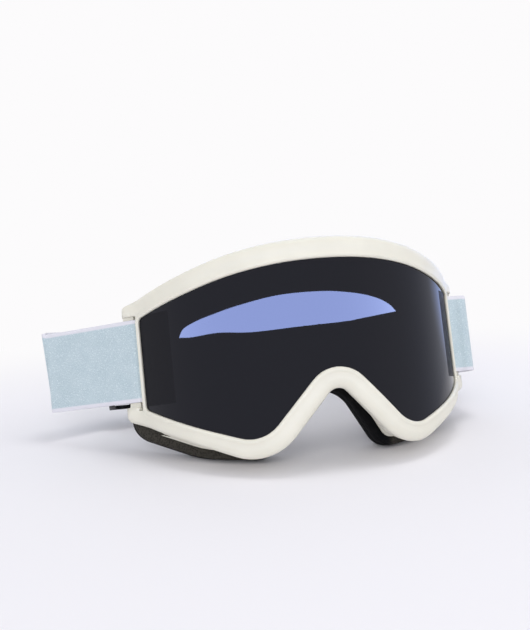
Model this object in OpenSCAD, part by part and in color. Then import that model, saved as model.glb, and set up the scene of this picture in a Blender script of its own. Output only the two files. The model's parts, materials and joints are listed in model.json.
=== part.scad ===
// Snow goggles: soft frame, double lens, three-layer face foam and a two-part elastic strap.
// The goggles are drawn upright, facing -Y, then leaned back and set down on the floor.
// Lengths are in millimetres.

/* [Lens] */
// Radius of the curved outer lens
lens_radius = 88.9; // [84:0.5:96]
// Width of the visible lens, measured round its curve
lens_arc_width = 200; // [190:1:208]
// Height of the visible lens, cheek lobes to brow
lens_height = 78.4; // [73:0.5:84]
// Thickness of the outer lens
outer_lens_thick = 1.2; // [0.8:0.1:1.6]
// Thickness of the inner lens
inner_lens_thick = 0.8; // [0.6:0.1:1.2]
// Air gap held between the two lenses by the gasket
lens_gap = 4; // [3:0.25:4.5]

/* [Frame] */
// Visible width of the frame band round the lens
band_w = 10; // [8.5:0.25:11.5]
// Depth from the lens front to the rear flange, at the nose
frame_depth = 24; // [21:0.5:28]
// Thickness of the frame walls
wall_thick = 2.2; // [1.8:0.1:2.8]
// How far the strap ears reach out past the lens edge
ear_reach = 11.5; // [10.5:0.25:13]
// Length of each vent window
vent_len = 11; // [8:0.5:13]
// Height of each vent window
vent_h = 4.6; // [3:0.2:5.6]

/* [Face foam] */
// Thickness of the firm foam layer next to the frame
base_foam_thick = 5.5; // [4:0.5:7]
// Thickness of the soft foam layer
soft_foam_thick = 6.5; // [5:0.5:8]
// Thickness of the fleece on the face side
fleece_thick = 1; // [0.8:0.1:1.5]
// Width of the foam ring
foam_w = 11; // [9:0.5:13]

/* [Strap] */
// Width of the webbing
strap_w = 40; // [36:1:42]
// Thickness of the webbing
strap_thick = 1.5; // [1.2:0.1:1.7]
// Distance from the lens front back to the rear of the strap loop
strap_reach = 151; // [144:1:160]
// How far each slider can travel towards its post
slider_travel = 16; // [10:1:18]

/* [Pose on the floor] */
// Angle the goggles lean back by, degrees
lean = 16; // [14:0.5:18]

/* [Hidden] */

$fn = 32;
edge_s = lens_arc_width / 2;
sx = lens_arc_width / 200;
sz = lens_height / 78.4;
st = min(sx, sz);
bw = band_w / 10;
ear = ear_reach;
lens_margin = 1.15;
groove_margin = 1.25;
front_gap = 0.1;
stack = outer_lens_thick + lens_gap + inner_lens_thick;
groove_back = stack + 0.25;
// floor contact is made flat by this much
floor_flat = 0.3;

// Vector and outline helpers
function unit(v) = v / norm(v);
function mix(a, b, k) = a + (b - a) * k;
function arc_pts(a, b, c, t, n) =
    let (u = unit(a - b), v = unit(c - b), half = acos(u * v) / 2,
         r = t * tan(half), m = b + unit(u + v) * r / sin(half),
         p = b + u * t - m, q = b + v * t - m,
         a0 = atan2(p[1], p[0]),
         turn = ((atan2(q[1], q[0]) - a0 + 540) % 360) - 180)
    [for (i = [0:n]) m + r * [cos(a0 + turn * i / n), sin(a0 + turn * i / n)]];
arc_n = [10, 4, 4, 3, 10, 10, 10, 3, 4, 4, 10];
line_n = [5, 5, 4, 3, 4, 4, 3, 4, 5, 5, 0];
// half outline as rows of place, height and tangent length, made whole by mirroring
function outline(h) =
    let (c = [h[0], h[1], h[2], h[3], h[4], h[5],
              for (i = [4:-1:0]) [-h[i][0], h[i][1], h[i][2]]],
         n = len(c),
         arcs = [for (i = [0:n - 1])
             let (a = c[(i + n - 1) % n], b = c[i], d = c[(i + 1) % n])
             arc_pts([a[0], a[1]], [b[0], b[1]], [d[0], d[1]], b[2], arc_n[i])])
    [for (i = [0:n - 1])
        let (last = arcs[i][arc_n[i]], next = arcs[(i + 1) % n][0])
        each concat(arcs[i], line_n[i] == 0 ? [] :
            [for (k = [1:line_n[i]]) mix(last, next, k / (line_n[i] + 1))])];
function normals(o) = let (n = len(o))
    [for (i = [0:n - 1]) let (d = unit(o[(i + 1) % n] - o[(i + n - 1) % n])) [-d[1], d[0]]];

// Past its edge the band turns outwards to make the strap ears
ear_bend = 5;
edge_a = edge_s / lens_radius * 180 / PI;
ear_a = 43.4;
bend_k = (ear_a - edge_a) * PI / 180 / ear_bend;
function bend_xy(s) = let (a = edge_a + bend_k * s * 180 / PI)
    [lens_radius * sin(edge_a) + (sin(a) - sin(edge_a)) / bend_k,
     lens_radius - lens_radius * cos(edge_a) - (cos(a) - cos(edge_a)) / bend_k];
ear_o = bend_xy(ear_bend);
// Sideways place of the face pad, and how far behind the ear its flange lies there
side_x = ear_o[0] + 2.1 * bw;
flange_side = ear_o[1] + 9.85 * bw;

lens_half = [
    [29.8 * sx, 27.4 * sz, 28.1 * st], [edge_s, 11.1 * sz, 2.38],
    [edge_s, -32.4 * sz, 2.14], [69 * sx, -43.1 * sz, 6],
    [36.5 * sx, -53.5 * sz, 10.45 * st], [0, -15.25 * sz, 17.1 * st],
];
outer_half = [
    [31 * sx, 27.4 * sz + 10.3 * bw, 29.2 * st], [edge_s + ear, 11.1 * sz + 7.4 * bw, 1.8],
    [edge_s + ear + 2.2 * bw, -32.4 * sz - 4.8 * bw, 2.8], [69 * sx + 3 * bw, -43.1 * sz - 7.1 * bw, 12 * st],
    [36.5 * sx - 2.7 * bw, -53.5 * sz - 11 * bw, 17.3 * st], [0, -15.25 * sz - 13.9 * bw, 7 * st],
];
root_half = [
    [31 * sx, 27.4 * sz + 9.4 * bw, 29.2 * st], [edge_s + 2.3, 11.1 * sz + 8.2 * bw, 2.6],
    [edge_s + 2.3, -32.4 * sz - 7.3 * bw, 3.4], [69 * sx + 3 * bw, -43.1 * sz - 6.2 * bw, 12 * st],
    [36.5 * sx - 2.7 * bw, -53.5 * sz - 10 * bw, 16.8 * st], [0, -15.25 * sz - 13 * bw, 7.6 * st],
];
face_half = [
    [34 * sx, 27.4 * sz + 9.1 * bw, 31.5 * st], [side_x - 0.5, 11.1 * sz + 9.4 * bw, 14],
    [side_x, -32.4 * sz - 12.5 * bw, 7.6], [57 * sx, -43.1 * sz - 15.5 * bw, 7],
    [27.4 * sx, -53.5 * sz - 9 * bw, 7.5], [0, -15.6 * sz, 29 * st],
];
lens_o = outline(lens_half);
outer_o = outline(outer_half);
root_o = outline(root_half);
face_o = outline(face_half);
lens_n = normals(lens_o);
face_n = normals(face_o);
ring_n = len(lens_o);

// Point on the lens cylinder: p is place round the curve and height, d is distance in front
function cyl(p, d) = let (a = p[0] / lens_radius * 180 / PI)
    [(lens_radius + d) * sin(a), lens_radius - (lens_radius + d) * cos(a), p[1]];
// The same, but turning outwards past the lens edge to make the strap ears
ear_dir = [cos(ear_a), sin(ear_a)];
ear_out = [sin(ear_a), -cos(ear_a)];
// Point in the ear plane, side is -1 left or 1 right
function ear_xy(side, t, n) = let (p = ear_o + ear_dir * (t - ear_bend) + ear_out * n) [side * p[0], p[1]];
function band(p, d) = let (s = abs(p[0]) - edge_s, g = sign(p[0]))
    s <= 0 ? cyl(p, d) :
    let (a = s < ear_bend ? edge_a + bend_k * s * 180 / PI : ear_a,
         q = s < ear_bend ? bend_xy(s) : ear_o + ear_dir * (s - ear_bend))
    [g * (q[0] + d * sin(a)), q[1] - d * cos(a), p[1]];

// Rear curves that follow the brow
flange_deep = flange_side - frame_depth;
flange_r = (side_x * side_x + flange_deep * flange_deep) / (2 * flange_deep);
face_r = flange_r + 5 * bw;
function flange_y(x) = frame_depth + flange_r - sqrt(flange_r * flange_r - x * x);
foam_all = base_foam_thick + soft_foam_thick + fleece_thick;
function face_y(x) = frame_depth + foam_all + face_r - sqrt(face_r * face_r - x * x);
function ring_at(i, inset, y) = let (p = face_o[i] - face_n[i] * inset) [p[0], y, p[1]];

// Lean back, then lift on to the floor
cl = cos(lean);
sl = sin(lean);
function low(p) = p[2] * cl - p[1] * sl;
lift = -min([for (i = [0:ring_n - 1])
    low(ring_at(i, 0, flange_y(face_o[i][0]) + base_foam_thick + 1))]) - floor_flat;
post_z = -8.5 * sz;
// height of the strap centre where its lower edge lies on the floor at distance y
function floor_z(y) = strap_w / 2 + (y * sl - lift - 0.3) / cl;

// Strap centre lines as rows of x, y, centre height and sideways tilt of the top edge
layer = strap_thick / 2;
post_back = -2.9;
post_front = -0.5;
loop_front = post_front + 0.15 + layer;
loop_back = post_back - 0.15 - layer;
loop_mid = (loop_front + loop_back) / 2;
loop_r = (loop_front - loop_back) / 2;
slot_t = groove_margin + 0.65;
function flat(xy, z) = [xy[0], xy[1], z, 0, 0];
function by_ear(x, y) = flat(ear_o + [x, y], post_z);
function rev(v) = [for (i = [len(v) - 1:-1:0]) v[i]];
function loop_pts(side, n) = [for (i = [0:n]) let (a = 270 - 180 * i / n)
    flat(ear_xy(side, slot_t + 3.15 + loop_r * cos(a), loop_mid + loop_r * sin(a)), post_z)];
function curve(p, k) = let (m = len(p) - 1) [
    for (i = [0:m - 1]) let (a = p[max(i - 1, 0)], b = p[i], c = p[i + 1], d = p[min(i + 2, m)])
        for (j = [0:k - 1]) let (u = j / k)
            0.5 * (2 * b + (c - a) * u + (2 * a - 5 * b + 4 * c - d) * u * u
                + (3 * b - a - 3 * c + d) * u * u * u),
    p[m]];
lap = strap_thick + 0.45;
ky = strap_reach / 151;

// left webbing: straight from the ear to a soft fold, then back behind itself to its slider
fold_t = 61;
fold_r = 3;
left_a = 157.6;
left_z = post_z + 1.4;
fold_c = ear_xy(1, fold_t - fold_r, loop_front - fold_r);
fold_pts = [for (i = [0:8]) let (a = ear_a - 90 + (left_a - ear_a) * i / 8, k = 1.5 * sin(22.5 * i))
    [-(fold_c[0] + fold_r * cos(a)), fold_c[1] + fold_r * sin(a), mix(post_z, left_z, i / 8), -k, -k]];
left_o = [fold_pts[8][0], fold_pts[8][1]];
left_u = [-cos(left_a), sin(left_a)];
left_v = [left_u[1], -left_u[0]];
left_slider = left_o + left_u * (26 + slider_travel);
function left_at(u, v) = flat(left_slider + left_u * u + left_v * v, left_z);

// right webbing: round the ear, straight back through its slider
right_a = 93;
right_u = [cos(right_a), sin(right_a)];
right_v = [right_u[1], -right_u[0]];
right_slider = ear_o + [13.07, 33.42 + slider_travel];
function right_at(u, v) = flat(right_slider + right_u * u + right_v * v, post_z);

// shared rear run, outer layer from left to right
rear_z = floor_z(strap_reach);
rear_xy = [[-56.5, 127.5], [-41, 139.3], [-21, 148.2], [2, 151],
           [25, 149.3], [47, 144], [67, 136.5], [83, 129]];
rear_m = len(rear_xy) - 1;
function rear_k(y) = max(0, min(1, (y - 139) / 8));
function rear_pts(off) = [for (i = [0:rear_m])
    let (a = rear_xy[max(i - 1, 0)], b = rear_xy[min(i + 1, rear_m)], d = unit(b - a),
         q = rear_xy[i] + [d[1], -d[0]] * off)
    [q[0] * sx, q[1] * ky, mix(mix(left_z, post_z, i / rear_m), rear_z, rear_k(rear_xy[i][1])), 0, 0]];

// the loop of webbing sewn round the centre bar of a slider, in slider places
bar_v = strap_thick * 1.5 + 0.45;
bar_t = 2;
loop_in = strap_thick + 0.3;
loop_out = bar_v + bar_t + 0.15 + layer;
join_u = 19;
join_v = (loop_in + loop_out) / 2 + layer + 0.02;
pair_v = join_v - strap_thick - 0.04;
end_loop = concat(
    [[join_u, pair_v], [13, pair_v], [9, pair_v - 0.1], [5, loop_in + 0.1], [2, loop_in]],
    [for (i = [0:8]) let (a = 270 - 180 * i / 8, r = (loop_out - loop_in) / 2)
        [r * cos(a), (loop_in + loop_out) / 2 + r * sin(a)]],
    [[2, loop_out], [5, loop_out - 0.1], [9, join_v + 0.1], [13, join_v], [join_u, join_v]]);

path_left = concat(
    [for (t = [22, 16, 10]) flat(ear_xy(-1, t, loop_back), post_z)], loop_pts(-1, 8),
    [for (t = [9, 20, 34, 48]) flat(ear_xy(-1, t, loop_front), post_z)], fold_pts,
    [for (u = [-24, -13, 0, 13]) left_at(u, 0)], rear_pts(0),
    [[93.4 * sx, 127.6 * ky, post_z, 0, 0],
     right_at(join_u + 3.2, join_v - 0.9), right_at(join_u + 0.3, join_v)]);
path_right = concat(
    [by_ear(12.67, 20.42), by_ear(11.77, 15.82), by_ear(9.57, 12.12), by_ear(6.27, 9.62)],
    [flat(ear_xy(1, 9.5, loop_back - 0.15), post_z)], loop_pts(1, 8),
    [by_ear(4.57, 0.91), by_ear(7.5, 0.4), by_ear(10.47, 1.82), by_ear(12.77, 5.82), by_ear(14.07, 11.42)],
    [for (u = [-24, -13, 0, 13]) right_at(u, 0)],
    [[91.6 * sx, 123.2 * ky, post_z, 0, 0]], rev(rear_pts(lap)),
    [left_at(join_u + 4, join_v - 0.7), left_at(join_u + 0.3, join_v)]);

// whole-part offsets that put the origin under the middle
front_y = min([for (i = [0:ring_n - 1])
    let (p = band(mix(lens_o[i], outer_o[i], 0.74), 1.1)) p[1] * cl + p[2] * sl]);
back_y = strap_reach * cl + (rear_z + strap_w / 2) * sl;
left_x = fold_c[0] + fold_r + layer + 1.5;
right_x = right_slider[0] + loop_out + layer;
ox = (left_x - right_x) / 2;
oy = -(front_y + back_y) / 2;
function place(p) = [p[0] + ox, p[1] * cl + p[2] * sl + oy, max(0, low(p) + lift)];
module placed() { translate([ox, oy, lift]) rotate([-lean, 0, 0]) children(); }

// Solids from rings of points: closed rings round a loop, or a bar with flat ends
// other = true splits each four-sided face the other way, so that two glued layers match
module ring_solid(rows, other = false) {
    n = len(rows);
    m = len(rows[0]);
    polyhedron(points = [for (r = rows) each r], faces = [
        for (i = [0:n - 1]) for (j = [0:m - 1])
            let (a = i * m + j, b = i * m + (j + 1) % m,
                 c = ((i + 1) % n) * m + (j + 1) % m, d = ((i + 1) % n) * m + j)
            each other ? [[a, b, d], [b, c, d]] : [[a, b, c], [a, c, d]]]);
}
module bar_solid(rows) {
    n = len(rows);
    m = len(rows[0]);
    polyhedron(points = [for (r = rows) each r], faces = concat(
        [[for (j = [m - 1:-1:0]) j]], [[for (j = [0:m - 1]) (n - 1) * m + j]],
        [for (i = [0:n - 2]) for (j = [0:m - 1])
            let (a = i * m + j, b = i * m + (j + 1) % m, c = (i + 1) * m + (j + 1) % m, d = (i + 1) * m + j)
            each [[a, b, c], [a, c, d]]]));
}
// Webbing along a path, with edges standing upright and softened corners
module webbing(path, k) {
    p = curve(path, k);
    m = len(p) - 1;
    h = strap_w / 2;
    e = 0.4;
    bar_solid([for (i = [0:m])
        let (q = p[i], a = p[max(i - 1, 0)], b = p[min(i + 1, m)], d = unit([b[0] - a[0], b[1] - a[1]]),
             n = [d[1], -d[0]] * layer, g = n * (1 - e / layer))
        [for (w = [[n, h - e], [g, h], [-g, h], [-n, h - e], [-n, e - h], [-g, -h], [g, -h], [n, e - h]])
            let (f = w[1] / h)
            place([q[0] + w[0][0] + q[3] * f, q[1] + w[0][1] + q[4] * f, q[2] + w[1]])]]);
}

// Frame section at every place round the lens, from the lip over the band and back to the flange
flange_t = 1.8;
flange_in = 4.4;
wall_in = flange_in + 0.8;
flange_out = foam_w - 1;
function wall_out(i) = let (a = cyl(root_o[i], -5.2),
    b = ring_at(i, wall_in, flange_y(face_o[i][0]) - flange_t),
    n = face_n[i]) mix(a, b, 0.5) - 0.8 * [n[0], 0, n[1]];
function frame_row(i) =
    let (l = lens_o[i], n = lens_n[i], q = outer_o[i] - l, w = root_o[i], r = w - l,
         fn = [face_n[i][0], 0, face_n[i][1]], yf = flange_y(face_o[i][0]), mid = wall_out(i))
    [cyl(l, front_gap), cyl(l + n * 0.1, 0.9), cyl(l + n * 0.55, 1.42), cyl(l + n * 1.3, 1.6),
     band(l + n * 2.1, 1.35), band(l + n * 2.8, 1.15), band(l + q * 0.5, 1.35), band(l + q * 0.74, 1.1),
     band(l + q * 0.88, 0.5), band(l + q * 0.96, -0.4), band(l + q, -1.4), band(l + q, -2.3),
     band(l + q - unit(q) * 0.6, -2.9), band(w, -3.2), cyl(w, -5.2), mid,
     ring_at(i, wall_in, yf - flange_t), ring_at(i, flange_in, yf - flange_t), ring_at(i, flange_in, yf),
     ring_at(i, flange_out, yf), ring_at(i, flange_out, yf - flange_t),
     ring_at(i, wall_in + wall_thick, yf - flange_t),
     mid - fn * wall_thick, cyl(l + r * 0.62, -stack - 1.8), cyl(l - n * 0.6, -stack - 1.8),
     cyl(l - n * 0.6, -groove_back), cyl(l + n * groove_margin, -groove_back),
     cyl(l + n * groove_margin, front_gap)];

// Index of the ring place nearest to a sideways place x, on the top or under the cheeks
function nearest(x, top) = let (d = [for (i = [0:ring_n - 1])
    (top ? face_o[i][1] > 0 : face_o[i][1] < -30 * sz) ? abs(wall_out(i)[0] - x) : 999], m = min(d))
    [for (i = [0:ring_n - 1]) if (d[i] == m) i][0];
// Rounded window through the wall, lying along it
module vent_cut(x, top) {
    i = nearest(x, top);
    a = wall_out((i + ring_n - 1) % ring_n);
    b = wall_out((i + 1) % ring_n);
    u = unit(b - a);
    n0 = [face_n[i][0], 0, face_n[i][1]];
    n = unit(n0 - u * (u * n0));
    v = cross(n, u);
    c = wall_out(i) - n * 1.2;
    multmatrix([[u[0], v[0], n[0], c[0]], [u[1], v[1], n[1], c[1]], [u[2], v[2], n[2], c[2]]])
        hull() for (k = [-1, 1]) translate([k * (vent_len - vent_h) / 2, 0, -3])
            cylinder(d = vent_h, h = 6, $fn = 16);
}
// Slot for the webbing beside the post, and the shallow seat over the post
slot_z0 = post_z - strap_w / 2 - 2.2;
slot_z1 = post_z + strap_w / 2 + 1.8;
module ear_cut(side, t0, t1, n0, n1, z0, z1, r) {
    hull() for (t = [t0 + r, t1 - r], z = [z0 + r, z1 - r])
        translate(concat(ear_xy(side, t, n0), [z])) rotate([0, 0, side * ear_a])
            rotate([90, 0, 0]) cylinder(r = r, h = n1 - n0, $fn = 12);
}
top_vents = [-60, -38, -15, 15, 38, 60];
cheek_vents = [-67, -52, 52, 67];

module frame() color([0.91, 0.91, 0.88]) placed() difference() {
    ring_solid([for (i = [0:ring_n - 1]) frame_row(i)]);
    for (x = top_vents) vent_cut(x * sx, true);
    for (x = cheek_vents) vent_cut(x * sx, false);
    for (side = [-1, 1]) {
        ear_cut(side, slot_t, slot_t + 2.8, -4.9, 4, slot_z0 - 2, slot_z1, 0.8);
        ear_cut(side, ear - 0.7, ear + 6, -7, 4, slot_z0, slot_z1, 0.8);
        ear_cut(side, slot_t, ear + 4, post_front, 4, slot_z0, slot_z1, 0.8);
        ear_cut(side, slot_t + 0.8, ear + 4, -7, post_back, slot_z0, slot_z1, 0.8);
    }
}

// Curved plates cut to the lens outline
lens_w = edge_s + lens_margin;
half_s = concat([for (s = [0:0.025:0.975]) s * lens_w * 0.975],
                [for (k = [0.975, 0.985, 0.993, 0.998, 1]) k * lens_w]);
all_s = concat([for (i = [len(half_s) - 1:-1:1]) -half_s[i]], half_s);
function grown(m) = [for (i = [0:ring_n - 1]) lens_o[i] + lens_n[i] * m];
grown_o = grown(lens_margin);
function edge_z(s, top) = let (a = max(-lens_w + 0.001, min(s, lens_w - 0.001)), z = [for (i = [0:ring_n - 1])
    let (p = grown_o[i], q = grown_o[(i + 1) % ring_n])
    if ((top ? q[0] > p[0] + 0.0001 : q[0] < p[0] - 0.0001)
        && a >= min(p[0], q[0]) && a <= max(p[0], q[0])) mix(p[1], q[1], (a - p[0]) / (q[0] - p[0]))])
    top ? max(z) : min(z);
module plate(d0, d1) placed() bar_solid([for (s = all_s)
    let (t = edge_z(s, true), b = edge_z(s, false))
    [cyl([s, t], d1), cyl([s, b], d1), cyl([s, b], d0), cyl([s, t], d0)]]);
module outer_lens() color([0.16, 0.16, 0.18]) plate(0, -outer_lens_thick);
module inner_lens() color([0.5, 0.5, 0.52]) plate(-outer_lens_thick - lens_gap, -stack);
gasket_clear = 0.1;
module lens_gasket() color([0.12, 0.12, 0.12]) placed() ring_solid([for (i = [0:ring_n - 1])
    let (l = lens_o[i], n = lens_n[i], d0 = -outer_lens_thick - gasket_clear,
         d1 = d0 - lens_gap + 2 * gasket_clear)
    [cyl(l + n, d0), cyl(l + n, d1), cyl(l - n * 3.5, d1), cyl(l - n * 3.5, d0)]]);

// Face foam rings, made flat where they lie on the floor
function foam_y(i, k) = mix(flange_y(face_o[i][0]), face_y(face_o[i][0]), k / foam_all);
module foam_ring(rows, other) ring_solid([for (i = [0:ring_n - 1])
    [for (r = rows) place(ring_at(i, r[0], foam_y(i, r[1])))]], other);
// glue line between one layer and the next
glue = 0.12;
base_k = base_foam_thick;
soft_k = base_foam_thick + soft_foam_thick;
module face_foam_base() color([0.2, 0.2, 0.18])
    foam_ring([[0.5, glue], [0.1, base_k / 2], [0.5, base_k - glue],
               [foam_w - 0.5, base_k - glue], [foam_w, base_k / 2], [foam_w - 0.5, glue],
               [flange_out, glue], [flange_in, glue]], true);
module face_foam_soft() color([0.07, 0.07, 0.07])
    foam_ring([[0.6, base_k], [0, base_k + 1.2], [0.3, soft_k - 1.8], [2.2, soft_k - glue],
               [foam_w - 2.2, soft_k - glue], [foam_w - 0.3, soft_k - 1.8], [foam_w, base_k + 1.2],
               [foam_w - 0.6, base_k]], false);
module face_fleece() color([0.12, 0.12, 0.12])
    foam_ring([[2.2, soft_k], [2.6, foam_all], [foam_w - 2.6, foam_all], [foam_w - 2.2, soft_k]], true);

// Thin vent foam glued behind the windows
function inner_wall(i, k) = let (fn = [face_n[i][0], 0, face_n[i][1]], m = wall_out(i) - fn * wall_thick,
    f = ring_at(i, wall_in + wall_thick, flange_y(face_o[i][0]) - flange_t),
    c = cyl(lens_o[i] + (root_o[i] - lens_o[i]) * 0.62, -stack - 1.8))
    k < 0 ? mix(m, c, -k) : mix(m, f, k);
vent_clear = 0.3;
vent_rim = vent_len * 0.44 + 0.8;
vent_up = 0.62;
vent_back = 0.5;
module vent_strip(i0, i1) bar_solid([for (i = [i0:i1]) let (j = (i + ring_n) % ring_n,
    fn = [face_n[j][0], 0, face_n[j][1]], g = vent_clear, h = 2.4)
    [inner_wall(j, -vent_up) - fn * g, inner_wall(j, 0) - fn * g, inner_wall(j, vent_back) - fn * g,
     inner_wall(j, vent_back) - fn * h, inner_wall(j, 0) - fn * h, inner_wall(j, -vent_up) - fn * h]]);
module vent_foam_top() color([0.1, 0.1, 0.1]) placed()
    vent_strip(nearest(-top_vents[5] * sx - vent_rim, true) - ring_n,
               nearest(top_vents[5] * sx + vent_rim, true));
module vent_side()
    vent_strip(nearest(cheek_vents[1] * sx + vent_rim, false),
               nearest(cheek_vents[0] * sx - vent_rim, false));
module vent_foam_left() color([0.1, 0.1, 0.1]) placed() vent_side();
module vent_foam_right() color([0.1, 0.1, 0.1]) placed() mirror([1, 0, 0]) vent_side();

// Webbing
module strap_left() color([0.74, 0.79, 0.83]) webbing(path_left, 2);
module strap_right() color([0.74, 0.79, 0.83]) webbing(path_right, 2);
module strap_left_end() color([0.74, 0.79, 0.83]) webbing([for (p = end_loop) right_at(p[0], p[1])], 1);
module strap_right_end() color([0.74, 0.79, 0.83]) webbing([for (p = end_loop) left_at(p[0], p[1])], 1);

// Sliders: two side rails, two bars on one face and the centre bar on the other
rail = 2;
slider_len = 20;
slider_h = strap_w + 1 + 2 * rail;
bar_w = 3;
face_v = layer + 0.3;
module slider_box(u0, u1, v0, v1, h, r) translate([0, 0, -h / 2]) linear_extrude(h)
    translate([(u0 + u1) / 2, (v0 + v1) / 2]) hull() for (a = [-1, 1], b = [-1, 1])
        translate([a * ((u1 - u0) / 2 - r), b * ((v1 - v0) / 2 - r)]) circle(r, $fn = 12);
module slider() {
    for (z = [-1, 1]) translate([0, 0, z * (slider_h - rail) / 2])
        slider_box(-slider_len / 2, slider_len / 2, -face_v - 1.8, bar_v + bar_t, rail, 0.9);
    for (u = [-1, 1]) translate([u * (slider_len - bar_w) / 2, 0, 0])
        slider_box(-bar_w / 2, bar_w / 2, -face_v - 1.8, -face_v, slider_h - rail, 0.6);
    slider_box(-0.95, 0.95, bar_v, bar_v + bar_t, slider_h - rail, 0.8);
}
// local u runs back along the webbing, v towards the sewn loop
module at_left(z) placed() translate([left_slider[0], left_slider[1], z])
    rotate([0, 0, atan2(left_u[1], left_u[0])]) mirror([0, 1, 0]) children();
module at_right(z) placed() translate([right_slider[0], right_slider[1], z])
    rotate([0, 0, atan2(right_u[1], right_u[0])]) mirror([0, 1, 0]) children();
module strap_slider_left() color([0.06, 0.06, 0.07]) at_left(left_z) slider();
module strap_slider_right() color([0.06, 0.06, 0.07]) at_right(post_z) slider();

// Box stitches, raised a little from the webbing they hold
stitch_t = 0.4;
stitch_clear = 0.12;
stitch_w = 1.4;
stitch_inset = 3;
box_len = 7;
short_box_len = 4.4;
// how far back from the slider's middle its box stitch lies
box_u = 13.5;
module box_stitch(len) difference() {
    translate([-len / 2, 0, -strap_w / 2 + stitch_inset]) cube([len, stitch_t, strap_w - 2 * stitch_inset]);
    translate([-len / 2 + stitch_w, -1, -strap_w / 2 + stitch_inset + stitch_w])
        cube([len - 2 * stitch_w, stitch_t + 2, strap_w - 2 * (stitch_inset + stitch_w)]);
}
module slider_stitch_left() color([0.85, 0.86, 0.9]) at_left(left_z)
    translate([box_u, join_v + layer + stitch_clear, 0]) box_stitch(box_len);
module slider_stitch_right() color([0.85, 0.86, 0.9]) at_right(post_z)
    translate([box_u, join_v + layer + stitch_clear, 0]) box_stitch(box_len);
module post_stitch_left() color([0.85, 0.86, 0.9]) placed()
    translate(concat(ear_xy(-1, 17, loop_back - layer - stitch_clear - stitch_t), [post_z]))
        rotate([0, 0, 180 - ear_a]) box_stitch(box_len);
post_r = [for (p = [1, 0]) [path_right[p][0], path_right[p][1]]];
post_d = unit(post_r[1] - post_r[0]);
module post_stitch_right() color([0.85, 0.86, 0.9]) placed()
    translate([post_r[0][0] + 1.9 * post_d[0] - (layer + 0.15) * post_d[1],
               post_r[0][1] + 1.9 * post_d[1] + (layer + 0.15) * post_d[0], post_z])
        rotate([0, 0, atan2(post_d[1], post_d[0])]) box_stitch(short_box_len);

frame();
outer_lens();
inner_lens();
lens_gasket();
face_foam_base();
face_foam_soft();
face_fleece();
vent_foam_top();
vent_foam_left();
vent_foam_right();
strap_left();
strap_right();
strap_left_end();
strap_right_end();
strap_slider_left();
strap_slider_right();
post_stitch_left();
post_stitch_right();
slider_stitch_left();
slider_stitch_right();
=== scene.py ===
"""Looks for a pair of snow goggles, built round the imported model.

Blender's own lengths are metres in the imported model's frame. The shapes of the goggles are worked
out in millimetres, upright in their own frame and facing -Y, and GogglePose leans them back and
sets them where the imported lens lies.
"""

import json
import logging
import math
from dataclasses import dataclass, field, fields
from enum import Enum
from typing import Sequence

import bmesh
import bpy
import numpy as np
from mathutils import Matrix, Vector

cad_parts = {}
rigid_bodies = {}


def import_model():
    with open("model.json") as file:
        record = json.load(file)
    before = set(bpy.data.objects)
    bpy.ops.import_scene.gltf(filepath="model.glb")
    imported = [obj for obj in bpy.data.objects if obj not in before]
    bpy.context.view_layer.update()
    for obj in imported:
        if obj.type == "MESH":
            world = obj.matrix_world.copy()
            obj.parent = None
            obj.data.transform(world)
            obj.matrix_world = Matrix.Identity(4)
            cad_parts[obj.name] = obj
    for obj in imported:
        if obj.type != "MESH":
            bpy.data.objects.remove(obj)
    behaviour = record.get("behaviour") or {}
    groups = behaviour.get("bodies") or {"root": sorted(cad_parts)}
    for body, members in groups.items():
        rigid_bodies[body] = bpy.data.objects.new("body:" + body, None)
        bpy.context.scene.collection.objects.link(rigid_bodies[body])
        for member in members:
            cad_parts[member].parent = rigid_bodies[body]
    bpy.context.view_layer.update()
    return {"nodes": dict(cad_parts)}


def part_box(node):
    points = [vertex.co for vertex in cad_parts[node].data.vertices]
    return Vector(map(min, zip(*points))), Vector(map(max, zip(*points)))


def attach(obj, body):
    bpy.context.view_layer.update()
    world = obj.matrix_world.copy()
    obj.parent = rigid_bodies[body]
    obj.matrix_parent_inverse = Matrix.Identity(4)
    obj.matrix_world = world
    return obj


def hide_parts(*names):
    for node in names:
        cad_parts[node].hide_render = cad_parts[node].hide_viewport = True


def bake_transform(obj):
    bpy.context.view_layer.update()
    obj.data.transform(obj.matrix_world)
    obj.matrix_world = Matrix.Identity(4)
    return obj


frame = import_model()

Pair = tuple[float, float]
Triple = tuple[float, float, float]
Tree = bpy.types.NodeTree
Socket = bpy.types.NodeSocket
Material = bpy.types.Material
Object = bpy.types.Object

log = logging.getLogger("goggles")
MM = 0.001
# Settings of a Map Range node that eases in and out, and of a Mix node for colours,
# whose sockets 0, 6 and 7 are its factor and its two colours and whose output is 2
SMOOTH = {"interpolation_type": "SMOOTHSTEP"}
COLOURS = {"data_type": "RGBA"}
# Angles round a half circle, from the near side of what it goes round to the far side
HALF_TURN = np.radians(270 - 180 * np.arange(9) / 8)


class Side(Enum):
    """The side of the goggles as a viewer facing the lens sees it."""

    LEFT = -1
    RIGHT = 1


# Small tools


def srgb(code: str, alpha: float = 1.0) -> tuple[float, float, float, float]:
    """Turn an sRGB hex colour into linear values.

    Args:
        code: six hex digits.
        alpha: opacity.

    Returns:
        Linear red, green, blue and alpha.
    """
    parts = [int(code[i : i + 2], 16) / 255 for i in (0, 2, 4)]
    line = [c / 12.92 if c <= 0.04045 else ((c + 0.055) / 1.055) ** 2.4 for c in parts]
    return line[0], line[1], line[2], alpha


def feed(tree: Tree, node: bpy.types.Node, inputs: dict) -> None:
    """Set inputs of a node to values, or link them to the outputs that feed them.

    Args:
        tree: node tree that the node is in.
        node: node to set.
        inputs: socket name or index to a value, or to an output of another node.
    """
    for key, value in inputs.items():
        if isinstance(value, Socket):
            tree.links.new(value, node.inputs[key])
        else:
            node.inputs[key].default_value = value


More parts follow.
